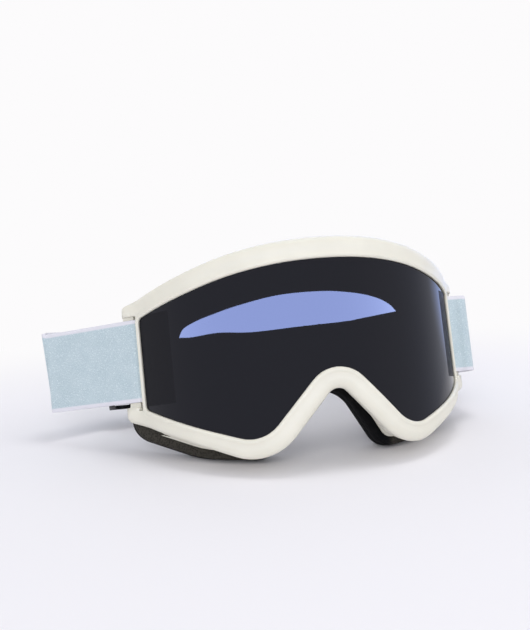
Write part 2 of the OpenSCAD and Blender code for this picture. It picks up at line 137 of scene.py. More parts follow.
def add_node(tree: Tree, kind: str, inputs: dict | None = None, **settings) -> bpy.types.Node:
    """Add a node with its settings and links.

    Args:
        tree: node tree that gets it.
        kind: Blender's name of the node type.
        inputs: socket name or index to a value, or to the output that feeds it.
        **settings: attributes of the node itself.

    Returns:
        The new node.
    """
    node = tree.nodes.new(kind)
    for name, value in settings.items():
        setattr(node, name, value)
    feed(tree, node, inputs or {})
    return node


def new_material(name: str) -> tuple[Material, Tree, bpy.types.Node]:
    """Make an empty material with a Principled shader on its output.

    Args:
        name: the real material and its process.

    Returns:
        The material, its node tree and the shader node.
    """
    material = bpy.data.materials.new(name)
    material.use_nodes = True
    tree = material.node_tree
    tree.nodes.clear()
    shader = add_node(tree, "ShaderNodeBsdfPrincipled")
    add_node(tree, "ShaderNodeOutputMaterial", {"Surface": shader.outputs["BSDF"]})
    return material, tree, shader


def give(obj: Object, material: Material) -> None:
    """Make a material the only one on an object.

    Args:
        obj: object to dress.
        material: what each of its slots gets.
    """
    if not obj.data.materials:
        obj.data.materials.append(material)
    for i in range(len(obj.data.materials)):
        obj.data.materials[i] = material


def add_object(name: str, data: bpy.types.ID) -> Object:
    """Put a mesh, lamp or camera into the scene.

    Args:
        name: name of the object.
        data: what the object shows.

    Returns:
        The new object.
    """
    obj = bpy.data.objects.new(name, data)
    bpy.context.scene.collection.objects.link(obj)
    return obj


def unit(rows: np.ndarray) -> np.ndarray:
    """Scale each row to length 1."""
    return rows / np.linalg.norm(rows, axis=1)[:, None]


def signed_volume(points: np.ndarray, quads: np.ndarray) -> float:
    """Work out six times the volume inside quads, summed as signed tetrahedra to the origin.

    Args:
        points: corners by 3.
        quads: indices of four corners by face.

    Returns:
        The volume, below zero where the faces point inwards.
    """
    a, b, c, d = (points[quads[:, i]] for i in range(4))
    return float((np.cross(a, b) * c).sum() + (np.cross(a, c) * d).sum())


def surface(name: str, rows: np.ndarray, closed: bool, uv: np.ndarray | None = None) -> Object:
    """Make a solid from a grid of points: rows of closed sections along a path.

    A quad joins points j and j + 1 of row i to the same points of row i + 1. An open path gets a
    flat end on its first and last row.

    Args:
        name: name of the piece.
        rows: array of stations by section points by 3.
        closed: True where the last row joins the first.
        uv: array of stations by section points by 2, kept as the layer named web.

    Returns:
        The new object, smooth shaded, with its normals outward.
    """
    n, m = rows.shape[:2]
    index = np.arange(n * m).reshape(n, m)
    here = index if closed else index[:-1]
    there = np.roll(index, -1, axis=0) if closed else index[1:]
    corners = [here, np.roll(here, -1, axis=1), np.roll(there, -1, axis=1), there]
    quads = np.stack(corners, -1).reshape(-1, 4)
    faces = quads.tolist()
    if not closed:
        faces += [index[0, ::-1].tolist(), index[-1].tolist()]
    mesh = bpy.data.meshes.new(name)
    mesh.from_pydata(rows.reshape(-1, 3).tolist(), [], faces)
    mesh.update()
    if signed_volume(rows.reshape(-1, 3), quads) < 0:
        mesh.flip_normals()
    if uv is not None:
        layer = mesh.uv_layers.new(name="web")
        loops = np.empty(len(mesh.loops), dtype=np.int64)
        mesh.loops.foreach_get("vertex_index", loops)
        layer.data.foreach_set("uv", uv.reshape(-1, 2)[loops].ravel())
    mesh.shade_smooth()
    return add_object(name, mesh)


def smooth_copy(node: str, name: str, angle: float) -> Object:
    """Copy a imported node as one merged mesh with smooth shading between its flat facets.

    Args:
        node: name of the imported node.
        name: name of the new piece.
        angle: edges sharper than this many degrees stay sharp.

    Returns:
        The new object, which stands for the node.
    """
    mesh = frame["nodes"][node].data.copy()
    mesh.name = name
    work = bmesh.new()
    work.from_mesh(mesh)
    bmesh.ops.remove_doubles(work, verts=work.verts, dist=2e-6)
    bmesh.ops.recalc_face_normals(work, faces=work.faces)
    work.to_mesh(mesh)
    work.free()
    mesh.shade_smooth()
    mesh.set_sharp_from_angle(angle=math.radians(angle))
    obj = add_object(name, mesh)
    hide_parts(node)
    return obj


def spline(a: np.ndarray, b: np.ndarray, c: np.ndarray, d: np.ndarray, t: np.ndarray) -> np.ndarray:
    """Work out a Catmull-Rom curve from b to c.

    It is the cubic that leaves b with half the slope from a to c, and reaches c with half the
    slope from b to d.

    Args:
        a: point before b.
        b: start.
        c: end.
        d: point after c.
        t: shares of the way from b to c.

    Returns:
        The points at those shares.
    """
    square = (2 * a - 5 * b + 4 * c - d) * t**2
    cube = (3 * b - a - 3 * c + d) * t**3
    return 0.5 * (2 * b + (c - a) * t + square + cube)


def curve(points: np.ndarray, step_mm: float) -> np.ndarray:
    """Pass a smooth line through control points, with one spline between each two.

    Args:
        points: control points, the first two values of each being its place in plan.
        step_mm: largest distance between the points that come back.

    Returns:
        Points along the line.
    """
    ends = np.concatenate([2 * points[:1] - points[1:2], points, 2 * points[-1:] - points[-2:-1]])
    out = []
    for a, b, c, d in zip(ends[:-3], ends[1:-2], ends[2:-1], ends[3:]):
        count = max(2, math.ceil(float(np.linalg.norm((c - b)[:2])) / step_mm))
        out.append(spline(a, b, c, d, (np.arange(count) / count)[:, None]))
    return np.concatenate([*out, points[-1:]])


def rounded_outline(corners: Sequence[Triple], step: float) -> np.ndarray:
    """Draw a closed outline, alike left and right, from the corners of its right half.

    An arc touches both sides of a corner at its tangent length, so that its radius is that
    length times the tangent of half the corner's angle. Straight lines join the arcs.

    Args:
        corners: place across, height, and distance from the corner to each end of its arc.
        step: distance between points.

    Returns:
        Points round the outline.
    """
    left_half = [(-c[0], c[1], c[2]) for c in reversed(corners[:-1])]
    ring = [np.array(c, float) for c in (*corners, *left_half)]
    arcs = []
    for i, corner in enumerate(ring):
        before, after = ring[i - 1][:2], ring[(i + 1) % len(ring)][:2]
        u = (before - corner[:2]) / np.linalg.norm(before - corner[:2])
        v = (after - corner[:2]) / np.linalg.norm(after - corner[:2])
        half = math.acos(float(np.clip(u @ v, -1, 1))) / 2
        radius = corner[2] * math.tan(half)
        middle = corner[:2] + (u + v) / np.linalg.norm(u + v) * radius / math.sin(half)
        p, q = corner[:2] + u * corner[2] - middle, corner[:2] + v * corner[2] - middle
        start = math.atan2(p[1], p[0])
        turn = (math.atan2(q[1], q[0]) - start + 3 * math.pi) % (2 * math.pi) - math.pi
        count = max(6, int(abs(turn) * radius / step))
        a = start + turn * np.linspace(0, 1, count + 1)
        arcs.append(middle + radius * np.stack([np.cos(a), np.sin(a)], -1))
    out = []
    for i, arc in enumerate(arcs):
        after = arcs[(i + 1) % len(arcs)][0]
        count = max(1, int(np.linalg.norm(after - arc[-1]) / step))
        out += [arc, arc[-1] + (after - arc[-1]) * (np.arange(1, count) / count)[:, None]]
    return np.concatenate(out)


def ring_normals(ring: np.ndarray) -> np.ndarray:
    """Work out the outward normals of an outline: its direction, turned by a quarter.

    Args:
        ring: points round the outline.

    Returns:
        A unit normal for each point.
    """
    ahead = unit(np.roll(ring, -1, 0) - np.roll(ring, 1, 0))
    return np.stack([-ahead[:, 1], ahead[:, 0]], -1)


# The shape of the goggles, as the solids have it


@dataclass(frozen=True)
class GogglePose:
    """How the upright goggles lie: leaned back about the X axis, then moved."""

    lean: float = math.radians(16)
    shift: Triple = (0.0, 0.0, 0.0)

    @classmethod
    def from_lens(cls) -> "GogglePose":
        """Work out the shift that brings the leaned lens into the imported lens's box.

        Returns:
            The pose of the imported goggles.
        """
        lens = LensShape()
        across, top, low = lens.edges()
        sheet = [lens.place(across, edge, depth) for edge in (top, low) for depth in (0, lens.thick)]
        own = cls().place(np.concatenate(sheet) * MM, None)
        packed = np.array(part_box("outer_lens"), float)
        return cls(shift=tuple(packed.mean(0) - (own.min(0) + own.max(0)) / 2))

    def turn(self) -> np.ndarray:
        """Rotation from the goggle frame to the model frame."""
        c, s = math.cos(self.lean), math.sin(self.lean)
        return np.array([[1, 0, 0], [0, c, s], [0, -s, c]])

    def place(self, points: np.ndarray, floor: float | None = 0.0) -> np.ndarray:
        """Lean points back and set them where the goggles lie.

        Args:
            points: array of goggle-frame points in metres.
            floor: height that nothing goes below, or None.

        Returns:
            The points in the model frame.
        """
        out = points @ self.turn().T + np.array(self.shift)
        if floor is not None:
            out[..., 2] = np.maximum(out[..., 2], floor)
        return out

    def undo(self, points: np.ndarray) -> np.ndarray:
        """Bring points of the model frame back into the goggle frame, in metres."""
        return (points - np.array(self.shift)) @ self.turn()


@dataclass(frozen=True)
class LensShape:
    """The curved lens: a sheet on an upright cylinder, cut to a rounded outline, in millimetres."""

    corners: tuple[Triple, ...] = (
        (29.8, 27.4, 28.1), (100, 11.1, 2.38), (100, -32.4, 2.14),
        (69, -43.1, 6), (36.5, -53.5, 10.45), (0, -15.25, 17.1))
    radius: float = 88.9
    margin: float = 1.15
    thick: float = 1.2
    edge_soft: float = 0.25
    step: float = 0.5
    hair: float = 0.01
    print_from: float = 79.5
    print_low: float = -31
    print_high: float = 12.5

    def edges(self) -> tuple[np.ndarray, np.ndarray, np.ndarray]:
        """Cut the outline by upright lines, and keep where each line meets its top and bottom.

        Returns:
            Places across the curve, with the height of the top and bottom edge at each.
        """
        ring = rounded_outline(self.corners, self.step)
        ring = ring + ring_normals(ring) * self.margin
        after = np.roll(ring, -1, 0)
        limit = self.corners[1][0] + self.margin - 0.001
        across = np.linspace(-limit, limit, int(2 * limit / self.step))
        run = after[:, 0] - ring[:, 0]
        safe = np.where(np.abs(run) < 1e-6, 1e-6, run)
        share = (across[:, None] - ring[None, :, 0]) / safe
        height = ring[:, 1] + (after[:, 1] - ring[:, 1]) * share
        hit = (share >= -1e-9) & (share <= 1 + 1e-9) & (np.abs(run) > 1e-4)
        top = np.where(hit & (run > 0), height, -1e3).max(1)
        low = np.where(hit & (run < 0), height, 1e3).min(1)
        return across, top, low

    def place(self, across: np.ndarray, height: np.ndarray, depth: float) -> np.ndarray:
        """Find points a depth behind the front surface.

        The place across, divided by the radius, is the angle round the cylinder.

        Args:
            across: distance round the curve from the middle.
            height: height of each point.
            depth: distance behind the front surface.

        Returns:
            The points in the goggle frame.
        """
        a = across / self.radius
        inner = self.radius - depth
        return np.stack([inner * np.sin(a), self.radius - inner * np.cos(a), height], -1)

    def plate(self, name: str, clear: Material, painted_reflection: Material) -> Object:
        """Make the lens as a closed sheet with a patch of painted dark reflection on the front of each end.

        Args:
            name: name of the piece.
            clear: material of the lens.
            painted_reflection: material of the patches of painted dark reflection beside the strap slots.

        Returns:
            The lens, with its place across and height in metres on its web layer.
        """
        across, top, low = self.edges()
        soft, hair = self.edge_soft, self.hair
        high_line = np.clip(self.print_high, low + soft + 2 * hair, top - soft - hair)
        low_line = np.clip(self.print_low, low + soft + hair, high_line - hair)
        section = ((top, soft), (top - soft, 0), (high_line, 0), (low_line, 0),
                   (low + soft, 0), (low, soft), (low, self.thick), (top, self.thick))
        rows = np.stack([self.place(across, height, depth) for height, depth in section], 1)
        uv = np.stack([np.stack([across, height], -1) for height, _ in section], 1)
        obj = surface(name, POSE.place(rows * MM), closed=False, uv=uv * MM)
        obj.data.set_sharp_from_angle(angle=math.radians(30))
        obj.data.materials.append(clear)
        obj.data.materials.append(painted_reflection)
        strip = np.arange(len(obj.data.polygons))
        column = np.minimum(strip // len(section), len(across) - 2)
        ends = (np.abs(across[column]) > self.print_from) & (strip < len(strip) - 2)
        # Each end gets a patch of painted dark reflection between the two set heights
        patch = (strip % len(section) == 2) & ends
        obj.data.polygons.foreach_set("material_index", patch.astype(np.int32))
        return obj


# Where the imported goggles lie
POSE = GogglePose.from_lens()


@dataclass(frozen=True)
class StrapRoute:
    """Where the webbing runs, seen from above the upright goggles, in millimetres.

    Each route is a row of control points of place across, place back, height of the middle of
    the webbing, and how far its top edge leans across and back.
    """

    lens_radius: float = LensShape.radius
    lens_edge: float = LensShape.corners[1][0]
    ear_bend: float = 5
    ear_turn: float = 43.4
    width: float = 40
    thick: float = 1.5
    clear: float = 0.15
    centre: float = -8.5
    travel: float = 16
    post_front: float = -0.5
    post_back: float = -2.9
    slot_turn: float = 5.05
    fold_at: float = 61
    fold_radius: float = 3
    fold_lean: float = 1.5
    left_heading: float = 157.6
    left_start: float = 26
    left_rise: float = 1.4
    right_heading: float = 93
    right_start: Pair = (13.07, 33.42)
    bar_gap: float = 0.3
    bar_out: float = 0.45
    bar_thick: float = 2
    hair: float = 0.02
    join: float = 19
    lap_gap: float = 0.45
    reach: float = 151
    floor_flat: float = 0.3
    floor_from: float = 139
    floor_over: float = 8
    rear: tuple[Pair, ...] = (
        (-56.5, 127.5), (-41, 139.3), (-21, 148.2), (2, 151), (25, 149.3), (47, 144), (67, 136.5), (83, 129))

    @property
    def front_layer(self) -> float:
        """Middle of the webbing in front of the post, measured from the ear."""
        return self.post_front + self.clear + self.thick / 2

    @property
    def back_layer(self) -> float:
        """Middle of the webbing behind the post, measured from the ear."""
        return self.post_back - self.clear - self.thick / 2

    @property
    def left_height(self) -> float:
        """Height of the left webbing after its fold."""
        return self.centre + self.left_rise

    @property
    def rear_height(self) -> float:
        """Height of the webbing's middle at the rear, where its lower edge lies on the floor."""
        drop = POSE.shift[2] / MM + self.floor_flat - self.reach * math.sin(POSE.lean)
        return self.width / 2 - drop / math.cos(POSE.lean)

    @property
    def ear_root(self) -> np.ndarray:
        """Place where the bend of the right ear ends and its straight part begins."""
        return self.ear(Side.RIGHT, self.ear_bend, 0)

    def ear(self, side: Side, along: float, out: float) -> np.ndarray:
        """Find a place in the plane of a strap ear.

        Past the lens edge the band turns steadily from the lens's direction to the ear's, and then
        runs straight. The turn's ends give the end of the bend, and the ear's direction the rest.

        Args:
            side: left or right ear.
            along: distance outward from the lens edge.
            out: distance in front of the ear's middle line.

        Returns:
            Place across and place back.
        """
        edge = self.lens_edge / self.lens_radius
        turn = math.radians(self.ear_turn)
        bend = (turn - edge) / self.ear_bend
        x = self.lens_radius * math.sin(edge) + (math.sin(turn) - math.sin(edge)) / bend
        y = self.lens_radius * (1 - math.cos(edge)) - (math.cos(turn) - math.cos(edge)) / bend
        x += math.cos(turn) * (along - self.ear_bend) + math.sin(turn) * out
        y += math.sin(turn) * (along - self.ear_bend) - math.cos(turn) * out
        return np.array([side.value * x, y])

    def flat(self, place: Sequence[float], height: float) -> list[float]:
        """Control point that stands upright at a height."""
        return [float(place[0]), float(place[1]), height, 0.0, 0.0]

    def on_ear(self, side: Side, along: float, out: float) -> list[float]:
        """Control point in the plane of a strap ear."""
        return self.flat(self.ear(side, along, out), self.centre)

    def by_ear(self, offset: Pair) -> list[float]:
        """Control point at a distance across and back from the root of the right ear."""
        return self.flat(self.ear_root + np.array(offset), self.centre)

    def post_loop(self, side: Side) -> list[list[float]]:
        """Run a half circle of webbing round the inner edge of a post.

        Args:
            side: left or right post.

        Returns:
            Control points from the layer behind the post to the one in front.
        """
        radius = (self.front_layer - self.back_layer) / 2
        middle = (self.front_layer + self.back_layer) / 2
        return [self.on_ear(side, self.slot_turn + radius * math.cos(a), middle + radius * math.sin(a))
                for a in HALF_TURN]

    def fold(self) -> list[list[float]]:
        """Fold the left webbing softly: an arc, its top edge drawn out and forward at the middle.

        Returns:
            Control points round the fold.
        """
        start = self.fold_at - self.fold_radius
        hub = self.ear(Side.RIGHT, start, self.front_layer - self.fold_radius)
        out = []
        for share in np.linspace(0, 1, 9):
            a = math.radians(self.ear_turn - 90 + (self.left_heading - self.ear_turn) * share)
            lean = -self.fold_lean * math.sin(math.pi * share)
            across = -(hub[0] + self.fold_radius * math.cos(a))
            back = hub[1] + self.fold_radius * math.sin(a)
            out.append([across, back, self.centre + self.left_rise * share, lean, lean])
        return out

    def left_frame(self) -> tuple[np.ndarray, np.ndarray, np.ndarray]:
        """Find the left slider.

        Returns:
            Its middle, the way back along its webbing, and the way towards the head.
        """
        a = math.radians(self.left_heading)
        along = np.array([-math.cos(a), math.sin(a)])
        middle = np.array(self.fold()[-1][:2]) + along * (self.left_start + self.travel)
        return middle, along, np.array([along[1], -along[0]])

    def right_frame(self) -> tuple[np.ndarray, np.ndarray, np.ndarray]:
        """Find the right slider.

        Returns:
            Its middle, the way back along its webbing, and the way out from the head.
        """
        a = math.radians(self.right_heading)
        along = np.array([math.cos(a), math.sin(a)])
        middle = self.ear_root + np.array(self.right_start) + np.array([0, self.travel])
        return middle, along, np.array([along[1], -along[0]])

    def at_left(self, u: float, v: float) -> list[float]:
        """Control point at the left slider, u back along the webbing and v towards the sewn loop."""
        middle, along, side = self.left_frame()
        return self.flat(middle + along * u + side * v, self.left_height)

    def at_right(self, u: float, v: float) -> list[float]:
        """Control point at the right slider, u back along the webbing and v towards the sewn loop."""
        middle, along, side = self.right_frame()
        return self.flat(middle + along * u + side * v, self.centre)

    def rear_run(self, inward: float) -> list[list[float]]:
        """Run the shared rear stretch from left to right.

        The height goes evenly from one side to the other, and eases down to the floor at the rear.

        Args:
            inward: distance from the outer layer, along its own normal.

        Returns:
            Control points of the stretch.
        """
        pts = np.array(self.rear)
        last = len(pts) - 1
        order = np.arange(last + 1)
        ahead = unit(pts[np.minimum(order + 1, last)] - pts[np.maximum(order - 1, 0)])
        moved = pts + np.stack([ahead[:, 1], -ahead[:, 0]], -1) * inward
        low = np.clip((pts[:, 1] - self.floor_from) / self.floor_over, 0, 1)
        level = self.left_height + (self.centre - self.left_height) * order / last
        level = level + (self.rear_height - level) * low
        return [self.flat(p, float(z)) for p, z in zip(moved, level)]

    def loop_places(self) -> tuple[float, float, float, float]:
        """Find the layers of a sewn loop, as distances from its slider's middle.

        Returns:
            Inside and outside of the bar, then the near and far layer of the sewn pair.
        """
        inside = self.thick + self.bar_gap
        bar = self.thick * 1.5 + self.bar_out
        outside = bar + self.bar_thick + self.clear + self.thick / 2
        far = (inside + outside) / 2 + self.thick / 2 + self.hair
        return inside, outside, far - self.thick - 2 * self.hair, far

    def end_loop(self) -> list[Pair]:
        """Run the loop sewn round a slider's middle bar: out, round the bar and back.

        Returns:
            Places in the slider's own frame.
        """
        inside, outside, near, far = self.loop_places()
        radius, middle = (outside - inside) / 2, (inside + outside) / 2
        arc = [(radius * math.cos(a), middle + radius * math.sin(a)) for a in HALF_TURN]
        way_out = [(self.join, near), (13, near), (9, near - 0.1), (5, inside + 0.1), (2, inside)]
        way_back = [(2, outside), (5, outside - 0.1), (9, far + 0.1), (13, far), (self.join, far)]
        return way_out + arc + way_back

    def left(self) -> np.ndarray:
        """Run the left webbing: sewn tail, round the post, fold, slider, rear, to its loop.

        Returns:
            Control points of the route.
        """
        far = self.loop_places()[3]
        route = [self.on_ear(Side.LEFT, t, self.back_layer) for t in (22, 16, 10)]
        route += self.post_loop(Side.LEFT)
        route += [self.on_ear(Side.LEFT, t, self.front_layer) for t in (9, 20, 34, 48)]
        route += self.fold() + [self.at_left(u, 0) for u in (-24, -13, 0, 13)] + self.rear_run(0)
        route.append(self.flat((93.4, 127.6), self.centre))
        route += [self.at_right(self.join + 3.2, far - 0.9), self.at_right(self.join + 0.3, far)]
        return np.array(route)

    def right(self) -> np.ndarray:
        """Run the right webbing: sewn tail, round the post, ear, slider, rear, to its loop.

        Returns:
            Control points of the route.
        """
        far = self.loop_places()[3]
        tail = ((12.67, 20.42), (11.77, 15.82), (9.57, 12.12), (6.27, 9.62))
        over = ((4.57, 0.91), (7.5, 0.4), (10.47, 1.82), (12.77, 5.82), (14.07, 11.42))
        route = [self.by_ear(p) for p in tail]
        route += [self.on_ear(Side.RIGHT, 9.5, self.back_layer - self.clear)]
        route += self.post_loop(Side.RIGHT) + [self.by_ear(p) for p in over]
        route += [self.at_right(u, 0) for u in (-24, -13, 0, 13)]
        route.append(self.flat((91.6, 123.2), self.centre))
        route += self.rear_run(self.thick + self.lap_gap)[::-1]
        route += [self.at_left(self.join + 4, far - 0.7), self.at_left(self.join + 0.3, far)]
        return np.array(route)


@dataclass(frozen=True)
class FaceShape:
    """Outline of the face side of the goggles and the two curves it follows, in millimetres."""

    frame_depth: float = 24
    foam_depth: float = 13
    beside_ear: Pair = (2.1, 9.85)
    face_flatter: float = 5

    @property
    def side(self) -> np.ndarray:
        """Sideways place of the pad's outer edge, and how far back its flange lies there."""
        return StrapRoute().ear_root + np.array(self.beside_ear)

    @property
    def corners(self) -> tuple[Triple, ...]:
        """Corners of the right half of the outline, from the brow down to the nose."""
        x = float(self.side[0])
        return ((34, 36.5, 31.5), (x - 0.5, 20.5, 14), (x, -44.9, 7.6),
                (57, -58.6, 7), (27.4, -62.5, 7.5), (0, -15.6, 29))

    def depth(self, x: np.ndarray, share: float | np.ndarray) -> np.ndarray:
        """Work out how far back the pad lies.

        The flange and the face are arcs seen from above. The flange's arc starts at the frame's
        depth in the middle and passes through the side, and the face's is flatter.

        Args:
            x: sideways places.
            share: 0 at the flange to 1 at the face.

        Returns:
            Distance back at each place.
        """
        side_x, side_back = self.side
        deep = side_back - self.frame_depth
        flange_radius = (side_x**2 + deep**2) / (2 * deep)
        face_radius = flange_radius + self.face_flatter
        flange = self.frame_depth + flange_radius - np.sqrt(flange_radius**2 - x**2)
        face = self.frame_depth + self.foam_depth + face_radius - np.sqrt(face_radius**2 - x**2)
        return flange + (face - flange) * share


# Finishes


@dataclass(frozen=True)
class MouldedElastomer:
    """Thermoplastic polyurethane, injection moulded: an even satin off-white with a very fine grain."""

    colour: str = "DEDBCE"
    pale: str = "E2DFD2"
    cloud_mm: float = 18
    grain_mm: float = 0.35

    def material(self) -> Material:
        """Give a satin skin, faint cloudiness of the colour and a fine moulded grain.

        Returns:
            The material.
        """
        mat, tree, shader = new_material("moulded_polyurethane_satin")
        place = add_node(tree, "ShaderNodeTexCoord").outputs["Object"]
        cloud = add_node(tree, "ShaderNodeTexNoise", {
            "Vector": place, "Scale": 1 / (self.cloud_mm * MM), "Detail": 2.0})
        share = add_node(tree, "ShaderNodeMapRange", {
            "Value": cloud.outputs["Fac"], "From Min": 0.35, "From Max": 0.65}, **SMOOTH)
        colour = add_node(tree, "ShaderNodeMix", {
            0: share.outputs["Result"], 6: srgb(self.colour), 7: srgb(self.pale)}, **COLOURS)
        grain = add_node(tree, "ShaderNodeTexNoise", {
            "Vector": place, "Scale": 1 / (self.grain_mm * MM), "Detail": 2.0, "Roughness": 0.6})
        bump = add_node(tree, "ShaderNodeBump", {
            "Height": grain.outputs["Fac"], "Strength": 0.12, "Distance": 0.03 * MM})
        feed(tree, shader, {
            "Base Color": colour.outputs[2], "Normal": bump.outputs["Normal"], "Roughness": 0.42,
            "IOR": 1.5, "Subsurface Weight": 0.06, "Subsurface Radius": (0.002, 0.0016, 0.0012)})
        return mat


@dataclass(frozen=True)
class SmokeLens:
    """Polycarbonate lens, moulded and polished: near-black smoke with a faint blue mirror coat."""

    colour: str = "111113"
    mirror: str = "E1E4FF"
    haze_mm: float = 30

    def material(self) -> Material:
        """Give a polished dark body, with faint wiping haze in the gloss.

        Returns:
            The material.
        """
        mat, tree, shader = new_material("polished_polycarbonate_smoke")
        place = add_node(tree, "ShaderNodeTexCoord").outputs["Object"]
        haze = add_node(tree, "ShaderNodeTexNoise", {
            "Vector": place, "Scale": 1 / (self.haze_mm * MM), "Detail": 4.0})
        rough = add_node(tree, "ShaderNodeMapRange", {
            "Value": haze.outputs["Fac"], "From Min": 0.4, "From Max": 0.7,
            "To Min": 0.004, "To Max": 0.01}, **SMOOTH)
        feed(tree, shader, {
            "Base Color": srgb(self.colour), "Roughness": rough.outputs["Result"], "IOR": 1.59,
            "Specular IOR Level": 0.2, "Specular Tint": srgb(self.mirror)})
        return mat


@dataclass(frozen=True)
class PaintedLensReflection:
    """Painted dark reflection on the lens's ends: a matt dark patch that takes away the mirror beside the
    strap slots.
    """

    colour: str = "212125"
    print_mm: float = 2

    def material(self) -> Material:
        """Give a flat dark matt patch, a painted dark reflection, with a slight unevenness in its roughness.

        Returns:
            The material.
        """
        mat, tree, shader = new_material("matt_dark_painted_reflection")
        place = add_node(tree, "ShaderNodeTexCoord").outputs["Object"]
        mottle = add_node(tree, "ShaderNodeTexNoise", {
            "Vector": place, "Scale": 1 / (self.print_mm * MM), "Detail": 2.0})
        rough = add_node(tree, "ShaderNodeMapRange", {
            "Value": mottle.outputs["Fac"], "From Min": 0.3, "From Max": 0.7,
            "To Min": 0.4, "To Max": 0.5}, **SMOOTH)
        # Painted dark reflection: a flat dark colour where the lens would mirror
        feed(tree, shader, {
            "Base Color": srgb(self.colour), "Roughness": rough.outputs["Result"],
            "Specular IOR Level": 0.05})
        return mat


@dataclass(frozen=True)
class FoamSkin:
    """Polyurethane foam, cut and heat pressed: matt, with small open cells."""

    name: str
    dark: str
    light: str
    cell_mm: float
    wrap: str = "0B0B0C"
    nose_mm: float = 0.0
    blur_mm: float = 2
    nose_low_mm: float = 50
    nose_top_mm: float = 56

    def beside_nose(self, tree: Tree, place: Socket) -> Socket:
        """Mark where the olive base gets painted shade, low down beside the nose.

        Args:
            tree: node tree to add to.
            place: place on the piece.

        Returns:
            Socket with 0 beside the nose and 1 elsewhere.
        """
        apart = add_node(tree, "ShaderNodeSeparateXYZ", {"Vector": place}).outputs
        off = add_node(tree, "ShaderNodeMath", {0: apart["X"], 1: POSE.shift[0]}, operation="SUBTRACT")
        off = add_node(tree, "ShaderNodeMath", {0: off.outputs[0]}, operation="ABSOLUTE")
        away = add_node(tree, "ShaderNodeMapRange", {
            "Value": off.outputs[0], "From Min": (self.nose_mm - self.blur_mm) * MM,
            "From Max": (self.nose_mm + self.blur_mm) * MM}, **SMOOTH)
        above = add_node(tree, "ShaderNodeMapRange", {
            "Value": apart["Z"], "From Min": self.nose_low_mm * MM,
            "From Max": self.nose_top_mm * MM}, **SMOOTH)
        either = add_node(tree, "ShaderNodeMath", {
            0: away.outputs["Result"], 1: above.outputs["Result"]}, operation="MAXIMUM")
        return either.outputs[0]

    def material(self) -> Material:
        """Give cells as dark pits between paler walls, and no gloss.

        Returns:
            The material.
        """
        mat, tree, shader = new_material(self.name)
        place = add_node(tree, "ShaderNodeTexCoord").outputs["Object"]
        cells = add_node(tree, "ShaderNodeTexVoronoi", {
            "Vector": place, "Scale": 1 / (self.cell_mm * MM)})
        wall = add_node(tree, "ShaderNodeMapRange", {
            "Value": cells.outputs["Distance"], "From Min": 0.15, "From Max": 0.6}, **SMOOTH)
        colour = add_node(tree, "ShaderNodeMix", {
            0: wall.outputs["Result"], 6: srgb(self.dark), 7: srgb(self.light)}, **COLOURS)
        # Painted shade: low down beside the nose the colour goes to near black
        if self.nose_mm:
            colour = add_node(tree, "ShaderNodeMix", {
                0: self.beside_nose(tree, place), 6: srgb(self.wrap), 7: colour.outputs[2]}, **COLOURS)
        bump = add_node(tree, "ShaderNodeBump", {
            "Height": wall.outputs["Result"], "Strength": 0.6, "Distance": 0.25 * MM})
        feed(tree, shader, {
            "Base Color": colour.outputs[2], "Normal": bump.outputs["Normal"], "Roughness": 0.95,
            "Specular IOR Level": 0.2})
        return mat


@dataclass(frozen=True)
class BrushedFleece:
    """Polyester fleece, knitted and brushed: soft black with a short nap that lifts the light."""

    colour: str = "1C1C1D"
    nap: str = "3A3A3C"
    fibre_mm: float = 0.5

    def material(self) -> Material:
        """Give a short nap as fine noise in colour and bump, with sheen.

        Returns:
            The material.
        """
        mat, tree, shader = new_material("brushed_polyester_fleece")
        place = add_node(tree, "ShaderNodeTexCoord").outputs["Object"]
        nap = add_node(tree, "ShaderNodeTexNoise", {
            "Vector": place, "Scale": 1 / (self.fibre_mm * MM), "Detail": 4.0, "Roughness": 0.7})
        share = add_node(tree, "ShaderNodeMapRange", {
            "Value": nap.outputs["Fac"], "From Min": 0.35, "From Max": 0.7}, **SMOOTH)
        colour = add_node(tree, "ShaderNodeMix", {
            0: share.outputs["Result"], 6: srgb(self.colour), 7: srgb(self.nap)}, **COLOURS)
        bump = add_node(tree, "ShaderNodeBump", {
            "Height": nap.outputs["Fac"], "Strength": 0.7, "Distance": 0.3 * MM})
        feed(tree, shader, {
            "Base Color": colour.outputs[2], "Normal": bump.outputs["Normal"], "Roughness": 1.0,
            "Sheen Weight": 0.4})
        return mat


